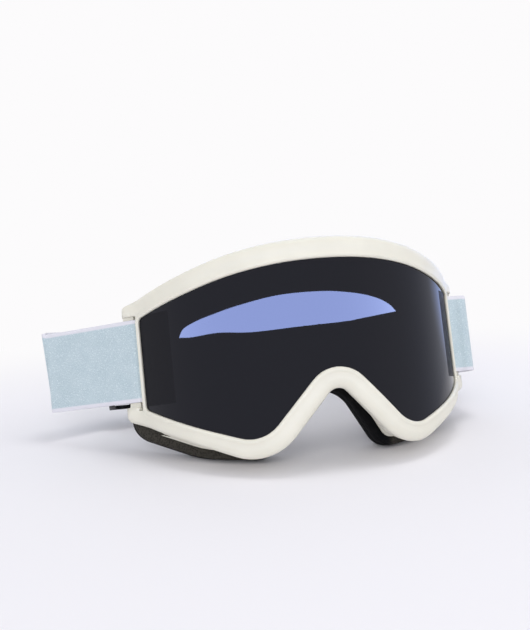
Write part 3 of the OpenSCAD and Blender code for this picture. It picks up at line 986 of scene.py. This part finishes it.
@dataclass(frozen=True)
class ElasticWebbing:
    """Polyester elastic, woven: pale ice blue with a paler selvedge, ribs, and painted glints."""

    colour: str = "BDCDD3"
    shade: str = "A9BBC4"
    glint: str = "DCE6EA"
    border: str = "DBDAE2"
    half_mm: float = StrapRoute.width / 2
    border_mm: float = 1.9
    rib_mm: float = 0.9
    yarn_mm: float = 0.42
    fleck_mm: float = 0.7
    cloud_mm: float = 9
    spark_mm: float = 0.95

    def ridges(self, tree: Tree, value: Socket, pitch_mm: float) -> Socket:
        """Make rounded ridges: half of 1 plus the sine of the place, one turn for each pitch.

        Args:
            tree: node tree to add to.
            value: place across the ridges in metres.
            pitch_mm: distance from ridge to ridge.

        Returns:
            Socket with 0 in the furrows and 1 on the ridges.
        """
        turns = add_node(tree, "ShaderNodeMath", {
            0: value, 1: 2 * math.pi / (pitch_mm * MM)}, operation="MULTIPLY")
        wave = add_node(tree, "ShaderNodeMath", {0: turns.outputs[0]}, operation="SINE")
        half = add_node(tree, "ShaderNodeMath", {
            0: wave.outputs[0], 1: 0.5, 2: 0.5}, operation="MULTIPLY_ADD")
        return half.outputs[0]

    def ground(self, tree: Tree, web: Socket, fine: Socket) -> Socket:
        """Mix the colour of the cloth inside its selvedges.

        Args:
            tree: node tree to add to.
            web: length and height on the webbing.
            fine: fine noise of the yarn.

        Returns:
            Socket with the colour: shade and light yarn, broad paler clouds, and painted glints.
        """
        yarn = add_node(tree, "ShaderNodeMapRange", {
            "Value": fine, "From Min": 0.32, "From Max": 0.66}, **SMOOTH)
        colour = add_node(tree, "ShaderNodeMix", {
            0: yarn.outputs["Result"], 6: srgb(self.shade), 7: srgb(self.colour)}, **COLOURS)
        broad = add_node(tree, "ShaderNodeTexNoise", {
            "Vector": web, "Scale": 1 / (self.cloud_mm * MM), "Detail": 2.0})
        cloud = add_node(tree, "ShaderNodeMapRange", {
            "Value": broad.outputs["Fac"], "From Min": 0.3, "From Max": 0.75, "To Max": 0.15}, **SMOOTH)
        # Painted highlight: small bright glints scattered over the webbing
        sparks = add_node(tree, "ShaderNodeTexVoronoi", {
            "Vector": web, "Scale": 1 / (self.spark_mm * MM)})
        spark = add_node(tree, "ShaderNodeMapRange", {
            "Value": sparks.outputs["Distance"], "From Min": 0.30, "From Max": 0.14,
            "To Max": 0.8}, **SMOOTH)
        for share in (cloud, spark):
            colour = add_node(tree, "ShaderNodeMix", {
                0: share.outputs["Result"], 6: colour.outputs[2], 7: srgb(self.glint)}, **COLOURS)
        return colour.outputs[2]

    def material(self) -> Material:
        """Give ribs along the height, warp yarns along the length and speckles, on the web layer.

        Returns:
            The material.
        """
        mat, tree, shader = new_material("woven_polyester_elastic")
        web = add_node(tree, "ShaderNodeUVMap", uv_map="web").outputs["UV"]
        apart = add_node(tree, "ShaderNodeSeparateXYZ", {"Vector": web}).outputs
        weave = add_node(tree, "ShaderNodeMath", {
            0: self.ridges(tree, apart["X"], self.rib_mm),
            1: self.ridges(tree, apart["Y"], self.yarn_mm * 2)}, operation="MULTIPLY")
        fine = add_node(tree, "ShaderNodeTexNoise", {
            "Vector": web, "Scale": 1 / (self.fleck_mm * MM), "Detail": 3.0, "Roughness": 0.75})
        height = add_node(tree, "ShaderNodeMath", {0: apart["Y"]}, operation="ABSOLUTE")
        edge = (self.half_mm - self.border_mm) * MM
        selvedge = add_node(tree, "ShaderNodeMapRange", {
            "Value": height.outputs[0], "From Min": edge - 0.5 * MM, "From Max": edge + 0.4 * MM}, **SMOOTH)
        colour = add_node(tree, "ShaderNodeMix", {
            0: selvedge.outputs["Result"], 6: self.ground(tree, web, fine.outputs["Fac"]),
            7: srgb(self.border)}, **COLOURS)
        relief = add_node(tree, "ShaderNodeMath", {
            0: fine.outputs["Fac"], 1: 0.7, 2: weave.outputs[0]}, operation="MULTIPLY_ADD")
        bump = add_node(tree, "ShaderNodeBump", {
            "Height": relief.outputs[0], "Strength": 0.55, "Distance": 0.12 * MM})
        feed(tree, shader, {
            "Base Color": colour.outputs[2], "Normal": bump.outputs["Normal"], "Roughness": 0.8,
            "Sheen Weight": 0.25, "Specular IOR Level": 0.3})
        return mat


@dataclass(frozen=True)
class GlossPlastic:
    """Acetal or clear sheet with a polished surface: smooth, with faint flow in the gloss."""

    name: str
    colour: str
    roughness: float
    flow_mm: float = 6

    def material(self) -> Material:
        """Give a smooth gloss with a slight moulding waviness.

        Returns:
            The material.
        """
        mat, tree, shader = new_material(self.name)
        place = add_node(tree, "ShaderNodeTexCoord").outputs["Object"]
        flow = add_node(tree, "ShaderNodeTexNoise", {
            "Vector": place, "Scale": 1 / (self.flow_mm * MM), "Detail": 2.0})
        rough = add_node(tree, "ShaderNodeMapRange", {
            "Value": flow.outputs["Fac"], "From Min": 0.3, "From Max": 0.7,
            "To Min": self.roughness * 0.8, "To Max": self.roughness * 1.25}, **SMOOTH)
        bump = add_node(tree, "ShaderNodeBump", {
            "Height": flow.outputs["Fac"], "Strength": 0.05, "Distance": 0.1 * MM})
        feed(tree, shader, {
            "Base Color": srgb(self.colour), "Normal": bump.outputs["Normal"],
            "Roughness": rough.outputs["Result"]})
        return mat


@dataclass(frozen=True)
class SewingThread:
    """Bonded polyester thread, lock stitched: pale, with darker needle holes.

    The holes are drawn 10 mm apart, four times as coarse as real ones.
    """

    colour: str = "E4E6EE"
    gap: str = "9FAEB6"
    drawn_mm: float = 10

    def material(self) -> Material:
        """Give stitches as bands with darker needle holes between them.

        Returns:
            The material.
        """
        mat, tree, shader = new_material("bonded_thread_lock_stitched")
        place = add_node(tree, "ShaderNodeTexCoord").outputs["Object"]
        # Diagonal bands of scale 1 come round every pi / 5 along an axis
        wave = add_node(tree, "ShaderNodeTexWave", {
            "Vector": place, "Scale": math.pi / 5 / (self.drawn_mm * MM), "Distortion": 0.4},
            bands_direction="DIAGONAL")
        share = add_node(tree, "ShaderNodeMapRange", {
            "Value": wave.outputs["Fac"], "From Min": 0.15, "From Max": 0.5}, **SMOOTH)
        colour = add_node(tree, "ShaderNodeMix", {
            0: share.outputs["Result"], 6: srgb(self.gap), 7: srgb(self.colour)}, **COLOURS)
        bump = add_node(tree, "ShaderNodeBump", {
            "Height": wave.outputs["Fac"], "Strength": 0.7, "Distance": 0.3 * MM})
        feed(tree, shader, {
            "Base Color": colour.outputs[2], "Normal": bump.outputs["Normal"], "Roughness": 0.65})
        return mat


@dataclass(frozen=True)
class Finishes:
    """One finish for each slot of the record."""

    frame_tpu: MouldedElastomer = MouldedElastomer()
    lens_smoke: SmokeLens = SmokeLens()
    lens_clear: GlossPlastic = GlossPlastic("clear_cellulose_acetate_sheet", "3A3B3F", 0.06)
    gasket_foam: FoamSkin = FoamSkin("closed_cell_foam_gasket", "141414", "242424", 0.4)
    foam_olive: FoamSkin = FoamSkin("moulded_polyurethane_foam_olive", "24221E", "403D37", 0.9, nose_mm=33)
    foam_black: FoamSkin = FoamSkin("soft_polyurethane_foam_black", "0D0D0D", "1D1D1D", 0.8)
    fleece_black: BrushedFleece = BrushedFleece()
    vent_foam: FoamSkin = FoamSkin("reticulated_vent_foam", "0B0B0B", "2C2C2C", 1.3)
    webbing: ElasticWebbing = ElasticWebbing()
    slider_black: GlossPlastic = GlossPlastic("moulded_acetal_gloss_black", "131315", 0.2)
    thread: SewingThread = SewingThread()

    def build(self) -> dict[str, Material]:
        """Make every material, by slot name."""
        return {slot.name: getattr(self, slot.name).material() for slot in fields(self)}


# Sub-assemblies


@dataclass
class Goggles:
    """The front unit: frame, two lenses with the gasket between them, and the vent foams."""

    materials: dict[str, Material]
    bevel_from: float = math.radians(40)

    def piece(self, node: str, name: str, slot: str, body: str = "goggles", soft: float | None = None,
              bevel: float | None = None, angle: float = 32.0) -> Object:
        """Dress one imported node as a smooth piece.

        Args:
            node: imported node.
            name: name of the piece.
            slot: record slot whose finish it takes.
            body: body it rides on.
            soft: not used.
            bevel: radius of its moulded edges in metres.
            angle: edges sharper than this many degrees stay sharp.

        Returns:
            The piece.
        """
        obj = smooth_copy(node, name, angle)
        give(obj, self.materials[slot])
        if bevel:
            edges = obj.modifiers.new("moulded_edges", "BEVEL")
            edges.width, edges.segments, edges.limit_method = bevel, 2, "ANGLE"
            edges.angle_limit, edges.harden_normals = self.bevel_from, True
            edges.miter_outer = "MITER_ARC"
        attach(obj, body)
        return obj

    def build(self) -> None:
        """Make the pieces of the front unit."""
        self.piece("frame", "frame_shell", "frame_tpu")
        lens = LensShape().plate("outer_lens_smoke", self.materials["lens_smoke"], PaintedLensReflection().material())
        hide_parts("outer_lens")
        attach(lens, "goggles")
        self.piece("inner_lens", "inner_lens_clear", "lens_clear")
        self.piece("lens_gasket", "lens_gasket_foam", "gasket_foam", soft=1.0)
        for place in ("top", "left", "right"):
            self.piece(f"vent_foam_{place}", f"vent_screen_{place}", "vent_foam", soft=1.0)


@dataclass
class FaceFoam:
    """Three layers of the face pad: firm olive base, soft black foam and fleece.

    Each section is a row of corners, as inset from the outline and depth behind the flange.
    """

    materials: dict[str, Material]
    shape: FaceShape = field(default_factory=FaceShape)
    step_mm: float = 0.9
    base: tuple[Pair, ...] = ((0.5, 0.12), (0.1, 2.75), (0.5, 5.38), (10.5, 5.38), (11, 2.75), (10.5, 0.12))
    soft: tuple[Pair, ...] = (
        (0.6, 5.5), (0, 6.7), (0.3, 10.2), (2.2, 12), (8.8, 12), (10.7, 10.2), (11, 6.7), (10.4, 5.5))
    fleece: tuple[Pair, ...] = ((2.2, 12), (2.6, 13), (8.4, 13), (8.8, 12))

    def profile(self, section: Sequence[Pair], flat: Sequence[int]) -> np.ndarray:
        """Draw a section with a spline along each soft side and a line along each flat one.

        Args:
            section: its corners.
            flat: corners whose next side is straight, as where a layer is glued to the next.

        Returns:
            Points round the section.
        """
        corners = np.array(section)
        count = len(corners)
        t = np.linspace(0, 1, 6)[:-1, None]
        sides = []
        for i, corner in enumerate(corners):
            before, after, beyond = (corners[(i + k) % count] for k in (-1, 1, 2))
            if i in flat:
                sides.append(corner + (after - corner) * t)
                continue
            if (i - 1) % count in flat:
                before = corner * 2 - after
            if (i + 1) % count in flat:
                beyond = after * 2 - corner
            sides.append(spline(before, corner, after, beyond, t))
        return np.concatenate(sides)

    def ring(self, name: str, section: Sequence[Pair], flat: Sequence[int]) -> Object:
        """Sweep a section round the face outline.

        Args:
            name: name of the piece.
            section: its corners.
            flat: corners whose next side is straight.

        Returns:
            The piece as a closed ring.
        """
        outline = rounded_outline(self.shape.corners, self.step_mm)
        profile = self.profile(section, flat)
        plan = outline[:, None] - ring_normals(outline)[:, None] * profile[None, :, :1]
        y = self.shape.depth(plan[..., 0], profile[None, :, 1] / self.shape.foam_depth)
        points = np.stack([plan[..., 0], y, plan[..., 1]], -1) * MM
        return surface(name, POSE.place(points), closed=True)

    def build(self) -> None:
        """Make the three layers."""
        for node, slot, section, flat in (("face_foam_base", "foam_olive", self.base, (2, 5)),
                                          ("face_foam_soft", "foam_black", self.soft, (3, 7)),
                                          ("face_fleece", "fleece_black", self.fleece, (3,))):
            obj = self.ring(f"{node}_ring", section, flat)
            give(obj, self.materials[slot])
            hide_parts(node)
            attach(obj, "goggles")


@dataclass
class Strap:
    """The two webbings with their sewn loops, sliders and stitches."""

    materials: dict[str, Material]
    goggles: Goggles
    route: StrapRoute = field(default_factory=StrapRoute)
    step_mm: float = 0.8
    edge_round: float = 0.55
    left_blend: Pair = (60, 22)
    right_blend: tuple[Pair, Pair] = ((60, 137), (97, 126))

    def section(self) -> tuple[np.ndarray, np.ndarray]:
        """Draw the webbing's section: two upright faces and a flattened half circle at each edge.

        Returns:
            Distance out from the middle and height of each point, in millimetres.
        """
        half, layer = self.route.width / 2, self.route.thick / 2
        turns = np.radians(np.linspace(0, 180, 7))
        cap_out = np.cos(turns) * layer
        cap_up = half + (np.sin(turns) - 1) * layer * self.edge_round
        rise = np.linspace(1, -1, 15)[1:-1] * (half - layer * self.edge_round)
        face = np.full(rise.size, layer)
        out = np.concatenate([cap_out, -face, -cap_out, face])
        return out, np.concatenate([cap_up, rise, -cap_up, -rise])

    def web(self, name: str, points: np.ndarray) -> Object:
        """Carry the webbing's section along a route.

        Args:
            name: name of the piece.
            points: control points of the route.

        Returns:
            The webbing, with length and height in metres on its web layer.
        """
        line = curve(points, self.step_mm)
        ahead = unit(np.gradient(line[:, :2], axis=0))
        side = np.stack([ahead[:, 1], -ahead[:, 0]], -1)
        out, up = self.section()
        lean = line[:, None, 3:5] * (up / (self.route.width / 2))[None, :, None]
        rows = np.empty((len(line), len(out), 3))
        rows[..., :2] = line[:, None, :2] + side[:, None] * out[None, :, None] + lean
        rows[..., 2] = line[:, 2, None] + up[None]
        steps = np.linalg.norm(np.diff(line[:, :2], axis=0), axis=1)
        run = np.concatenate([[0], np.cumsum(steps)])
        uv = np.stack(np.broadcast_arrays(run[:, None], up[None]), -1) * MM
        return surface(name, POSE.place(rows * MM), closed=False, uv=uv)

    def model_place(self, place: Sequence[float], height: float) -> Triple:
        """Point in the model frame from a place in plan and a height, in goggle millimetres."""
        point = POSE.place(np.array([place[0], place[1], height]) * MM, None)
        return tuple(float(c) for c in point)

    def webbings(self) -> None:
        """Make the four lengths of webbing, and carry each sewn loop with the slider it is sewn round."""
        route = self.route
        loop = route.end_loop()
        webs = (("strap_left", "strap_webbing_left", route.left()),
                ("strap_right", "strap_webbing_right", route.right()),
                ("strap_left_end", "strap_loop_left", np.array([route.at_right(*p) for p in loop])),
                ("strap_right_end", "strap_loop_right", np.array([route.at_left(*p) for p in loop])))
        made = {}
        for node, name, points in webs:
            obj = made[node] = self.web(name, points)
            give(obj, self.materials["webbing"])
            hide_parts(node)
        middle, along, _ = route.left_frame()
        start, end = (self.model_place(middle + along * u, route.left_height) for u in self.left_blend)
        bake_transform(made["strap_right"])
        start, end = (self.model_place(place, route.centre) for place in self.right_blend)
        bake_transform(made["strap_left"])
        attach(made["strap_left_end"], "right_adjuster")
        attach(made["strap_right_end"], "left_adjuster")

    def build(self) -> None:
        """Make the webbings, sliders and stitches."""
        self.webbings()
        piece = self.goggles.piece
        for side in ("left", "right"):
            body = f"{side}_adjuster"
            piece(f"strap_slider_{side}", f"slider_{side}", "slider_black", body, bevel=0.3 * MM)
            piece(f"slider_stitch_{side}", f"slider_stitching_{side}", "thread", body)
            piece(f"post_stitch_{side}", f"post_stitching_{side}", "thread")


@dataclass(frozen=True)
class Lamp:
    """A soft round area lamp: its name, place and width in metres, and power in watts."""

    name: str
    place: Triple
    width: float
    power: float
    aim: Triple = (0, 0, 0.04)

    def build(self) -> Object:
        """Hang the lamp so that it looks at the goggles.

        Returns:
            The lamp, which gloss doesn't show.
        """
        data = bpy.data.lights.new(self.name, "AREA")
        data.shape, data.size, data.energy = "DISK", self.width, self.power
        obj = add_object(self.name, data)
        obj.location = self.place
        obj.visible_glossy = False
        obj.rotation_mode = "QUATERNION"
        obj.rotation_quaternion = (Vector(self.aim) - Vector(self.place)).to_track_quat("-Z", "Y")
        return obj


@dataclass
class Studio:
    """Pale floor and surroundings, soft lamps, the card that the lens mirrors, and the camera.

    The eye is in millimetres of the model frame, and the camera's angles are in degrees. Both were
    fitted to the outlines in the photograph. The two rows of pixels were read from it, along
    the top and the bottom of the crescent of light in the lens.
    """

    eye_mm: Triple = (-133.83, -489.98, 145.88)
    azimuth: float = 15.115
    elevation: float = 9.586
    roll: float = -1.845
    lens_mm: float = 56.91
    sensor_mm: float = 36
    photo_size: tuple[int, int] = (530, 630)
    lit_top_px: tuple[Pair, ...] = (
        (179.1, 337.9), (183.2, 329.1), (196.4, 321.1), (212.5, 314.5), (237.5, 305.7), (278.5, 295.1),
        (321.1, 291.1), (346, 292), (365.1, 294.7), (379.8, 299.1), (390, 304.9), (395.9, 311.2))
    lit_low_px: tuple[Pair, ...] = (
        (179.1, 337.9), (192, 337.2), (218, 332.8), (253, 332), (302, 326.1), (346, 321.1),
        (365, 317.4), (395.9, 311.2))
    card_distance: float = 30.0
    card_columns: int = 121
    card_colour: str = "BFD1FF"
    card_strength: float = 32.0
    white: str = "FCFBFC"
    ambient: str = "DADBDF"
    panel: str = "DCDFEC"
    rim: str = "BBCDFF"
    panel_turn: Pair = (50, 95)
    rim_turn: Pair = (108, 124)
    paper: str = "EFEDF0"
    floor_half: float = 6.0
    fibre_scale: float = 900.0
    fade_centre: Triple = (0.0, -0.2, 0.0)
    fade_from: float = 0.3
    fade_to: float = 0.5
    lamps: tuple[Lamp, ...] = (
        Lamp("key_light", (-0.8, -2.6, 1.2), 1.8, 28.0),
        Lamp("top_light", (0.2, 0.0, 1.3), 0.5, 3.2),
        Lamp("fill_light", (0.9, -0.3, 0.8), 0.8, 1.4))

    def axes(self) -> np.ndarray:
        """Work out the camera's axes from its angles.

        The way back from the scene comes from azimuth and elevation. Level axes across and up are
        square to it, and the roll turns them round it.

        Returns:
            Rows with the ways right, up and back in the model frame.
        """
        azimuth, elevation, roll = np.radians([self.azimuth, self.elevation, self.roll])
        flat = np.array([-math.sin(azimuth), -math.cos(azimuth), 0]) * math.cos(elevation)
        back = flat + np.array([0, 0, math.sin(elevation)])
        level = np.array([math.cos(azimuth), -math.sin(azimuth), 0])
        right = level * math.cos(roll) + np.cross(back, level) * math.sin(roll)
        return np.array([right, np.cross(back, right), back])

    def camera(self) -> None:
        """Put the camera where the photograph was taken from."""
        data = bpy.data.cameras.new("photo_camera")
        data.lens, data.sensor_width, data.clip_start = self.lens_mm, self.sensor_mm, 0.01
        world = np.eye(4)
        world[:3, :3] = self.axes().T
        world[:3, 3] = np.array(self.eye_mm) * MM
        cam = add_object("photo_camera", data)
        cam.matrix_world = Matrix(world.tolist())
        bpy.context.scene.camera = cam

    def on_lens(self, pixels: Sequence[Pair]) -> np.ndarray:
        """Find the places on the lens that pixels of the photograph show.

        A ray runs from the eye through a pixel, on a screen as far away as the focal length in
        pixels. It meets the lens's cylinder at the nearer root of the quadratic that says that its
        distance from the cylinder's axis is the radius.

        Args:
            pixels: rows of x and y in the photograph.

        Returns:
            Rows of place across the lens and height, in millimetres.
        """
        focal = self.lens_mm / self.sensor_mm * max(self.photo_size)
        spots = np.array(pixels, float)
        x = (spots[:, :1] - self.photo_size[0] / 2) / focal
        y = (self.photo_size[1] / 2 - spots[:, 1:]) / focal
        right, up, back = self.axes()
        ray = unit(right * x + up * y - back) @ POSE.turn()
        radius = LensShape().radius
        eye = POSE.undo(np.array(self.eye_mm) * MM) / MM
        off = eye[:2] - np.array([0, radius])
        a = (ray[:, :2] ** 2).sum(1)
        b = 2 * ray[:, :2] @ off
        reach = (-b - np.sqrt(b**2 - 4 * a * (off @ off - radius**2))) / (2 * a)
        point = eye + ray * reach[:, None]
        return np.stack([radius * np.arctan2(point[:, 0], radius - point[:, 1]), point[:, 2]], -1)

    def mirrored(self, spots: np.ndarray) -> np.ndarray:
        """Find places far away that the camera sees mirrored in the lens.

        A ray d from the camera leaves a surface with normal n along d - 2 (d . n) n.

        Args:
            spots: rows of place across the lens and height, in millimetres.

        Returns:
            Points in the model frame at the card's distance.
        """
        lens = LensShape()
        point = lens.place(spots[:, 0], spots[:, 1], 0.0)
        turn = spots[:, 0] / lens.radius
        normal = np.stack([np.sin(turn), -np.cos(turn), np.zeros(len(turn))], -1)
        ray = unit(point - POSE.undo(np.array(self.eye_mm) * MM) / MM)
        ray = ray - 2 * (ray * normal).sum(1)[:, None] * normal
        return POSE.place(point * MM, None) + ray @ POSE.turn().T * self.card_distance

    def card_light(self) -> Material:
        """Make the plain emissive material of the card.

        Returns:
            The material.
        """
        mat = bpy.data.materials.new("light_strip")
        mat.use_nodes = True
        tree = mat.node_tree
        tree.nodes.clear()
        light = add_node(tree, "ShaderNodeEmission", {
            "Color": srgb(self.card_colour), "Strength": self.card_strength})
        add_node(tree, "ShaderNodeOutputMaterial", {"Surface": light.outputs["Emission"]})
        return mat

    def card(self) -> Object:
        """Make a curved strip of light high in front, which the lens mirrors as a crescent.

        Returns:
            The strip, which shows in gloss alone.
        """
        top, low = self.on_lens(self.lit_top_px), self.on_lens(self.lit_low_px)
        n = self.card_columns
        across = np.linspace(top[0, 0], top[-1, 0], n)
        rows = []
        for spots in (top, low):
            line = curve(spots, 0.5)
            height = np.interp(across, line[:, 0], line[:, 1])
            rows.append(self.mirrored(np.stack([across, height], -1)))
        i = np.arange(n - 1)
        faces = np.stack([i, i + 1, n + i + 1, n + i], -1)
        mesh = bpy.data.meshes.new("light_strip")
        mesh.from_pydata(np.concatenate(rows).tolist(), [], faces.tolist())
        obj = add_object("light_strip", mesh)
        give(obj, self.card_light())
        obj.visible_camera = obj.visible_diffuse = False
        obj.visible_shadow = obj.visible_transmission = False
        return obj

    def seen(self, tree: Tree) -> Socket:
        """Mark the rays that show the stage itself: to the camera, in gloss or through glass.

        Args:
            tree: node tree to add to.

        Returns:
            Socket with 1 for those rays and 0 for the rest.
        """
        path = add_node(tree, "ShaderNodeLightPath").outputs
        both = add_node(tree, "ShaderNodeMath", {
            0: path["Is Camera Ray"], 1: path["Is Glossy Ray"]}, operation="MAXIMUM")
        either = add_node(tree, "ShaderNodeMath", {
            0: both.outputs[0], 1: path["Is Transmission Ray"]}, operation="MAXIMUM")
        return either.outputs[0]

    def around(self, tree: Tree, way: Socket) -> tuple[Socket, Socket]:
        """Colour the surroundings in a direction: white to the camera, panels in gloss.

        The angle round from the front, towards +X, turns white into the panel's colour and then
        into the rim's, which is twice as strong.

        Args:
            tree: node tree to add to.
            way: direction from the goggles.

        Returns:
            Sockets with the colour and the strength.
        """
        path = add_node(tree, "ShaderNodeLightPath").outputs
        apart = add_node(tree, "ShaderNodeSeparateXYZ", {"Vector": way}).outputs
        front = add_node(tree, "ShaderNodeMath", {0: apart["Y"], 1: -1.0}, operation="MULTIPLY")
        turn = add_node(tree, "ShaderNodeMath", {0: apart["X"], 1: front.outputs[0]}, operation="ARCTAN2")
        shares = []
        for low, high in (self.panel_turn, self.rim_turn):
            share = add_node(tree, "ShaderNodeMapRange", {
                "Value": turn.outputs[0], "From Min": math.radians(low),
                "From Max": math.radians(high)}, **SMOOTH)
            shares.append(share.outputs["Result"])
        colour = add_node(tree, "ShaderNodeMix", {
            0: shares[0], 6: srgb(self.white), 7: srgb(self.panel)}, **COLOURS)
        colour = add_node(tree, "ShaderNodeMix", {
            0: shares[1], 6: colour.outputs[2], 7: srgb(self.rim)}, **COLOURS)
        colour = add_node(tree, "ShaderNodeMix", {
            0: path["Is Camera Ray"], 6: colour.outputs[2], 7: srgb(self.white)}, **COLOURS)
        extra = add_node(tree, "ShaderNodeMath", {
            0: shares[1], 1: path["Is Glossy Ray"]}, operation="MULTIPLY")
        strength = add_node(tree, "ShaderNodeMath", {
            0: extra.outputs[0], 1: 1.0, 2: 1.0}, operation="MULTIPLY_ADD")
        return colour.outputs[2], strength.outputs[0]

    def world(self) -> None:
        """Make the world white where it is seen, and an even pale light on everything."""
        scene = bpy.context.scene
        scene.world = bpy.data.worlds.new("studio")
        scene.world.use_nodes = True
        tree = scene.world.node_tree
        tree.nodes.clear()
        way = add_node(tree, "ShaderNodeTexCoord").outputs["Generated"]
        shown, strength = self.around(tree, way)
        shade = add_node(tree, "ShaderNodeMix", {
            0: self.seen(tree), 6: srgb(self.ambient), 7: shown}, **COLOURS)
        sky = add_node(tree, "ShaderNodeBackground", {"Color": shade.outputs[2], "Strength": strength})
        add_node(tree, "ShaderNodeOutputWorld", {"Surface": sky.outputs["Background"]})

    def floor_paper(self) -> Material:
        """Make matt pale paper that runs out into the white backdrop, away from the goggles.

        Returns:
            The material.
        """
        mat, tree, shader = new_material("matt_white_paper")
        place = add_node(tree, "ShaderNodeTexCoord").outputs["Object"]
        fibre = add_node(tree, "ShaderNodeTexNoise", {
            "Vector": place, "Scale": self.fibre_scale, "Detail": 2.0})
        rough = add_node(tree, "ShaderNodeMapRange", {
            "Value": fibre.outputs["Fac"], "From Min": 0.3, "From Max": 0.7,
            "To Min": 0.85, "To Max": 0.95}, **SMOOTH)
        feed(tree, shader, {"Base Color": srgb(self.paper), "Roughness": rough.outputs["Result"]})
        away = add_node(tree, "ShaderNodeVectorMath", {0: place, 1: self.fade_centre}, operation="DISTANCE")
        fade = add_node(tree, "ShaderNodeMapRange", {
            "Value": away.outputs["Value"], "From Min": self.fade_from, "From Max": self.fade_to}, **SMOOTH)
        share = add_node(tree, "ShaderNodeMath", {
            0: fade.outputs["Result"], 1: self.seen(tree)}, operation="MULTIPLY")
        colour, strength = self.around(tree, place)
        white = add_node(tree, "ShaderNodeEmission", {"Color": colour, "Strength": strength})
        both = add_node(tree, "ShaderNodeMixShader", {
            0: share.outputs[0], 1: shader.outputs["BSDF"], 2: white.outputs["Emission"]})
        sheet = next(node for node in tree.nodes if node.type == "OUTPUT_MATERIAL")
        feed(tree, sheet, {"Surface": both.outputs["Shader"]})
        return mat

    def floor(self) -> Object:
        """Lay a large square floor under the goggles.

        Returns:
            The floor.
        """
        half = self.floor_half
        mesh = bpy.data.meshes.new("floor")
        corners = [(-half, -half, 0), (half, -half, 0), (half, half, 0), (-half, half, 0)]
        mesh.from_pydata(corners, [], [(0, 1, 2, 3)])
        obj = add_object("floor", mesh)
        give(obj, self.floor_paper())
        return obj

    def build(self) -> None:
        """Make the stage."""
        bpy.context.scene.view_settings.view_transform = "Standard"
        self.camera()
        self.world()
        self.floor()
        self.card()
        for lamp in self.lamps:
            lamp.build()


def main() -> None:
    """Dress the goggles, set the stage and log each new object."""
    logging.basicConfig(level=logging.INFO)
    materials = Finishes().build()
    goggles = Goggles(materials)
    known = set(bpy.data.objects.keys())
    for part in (goggles, FaceFoam(materials), Strap(materials, goggles), Studio()):
        part.build()
        made = sorted(set(bpy.data.objects.keys()) - known)
        known.update(made)
        for name in made:
            log.info("%s made %s", type(part).__name__, name)


if __name__ == "__main__":
    main()
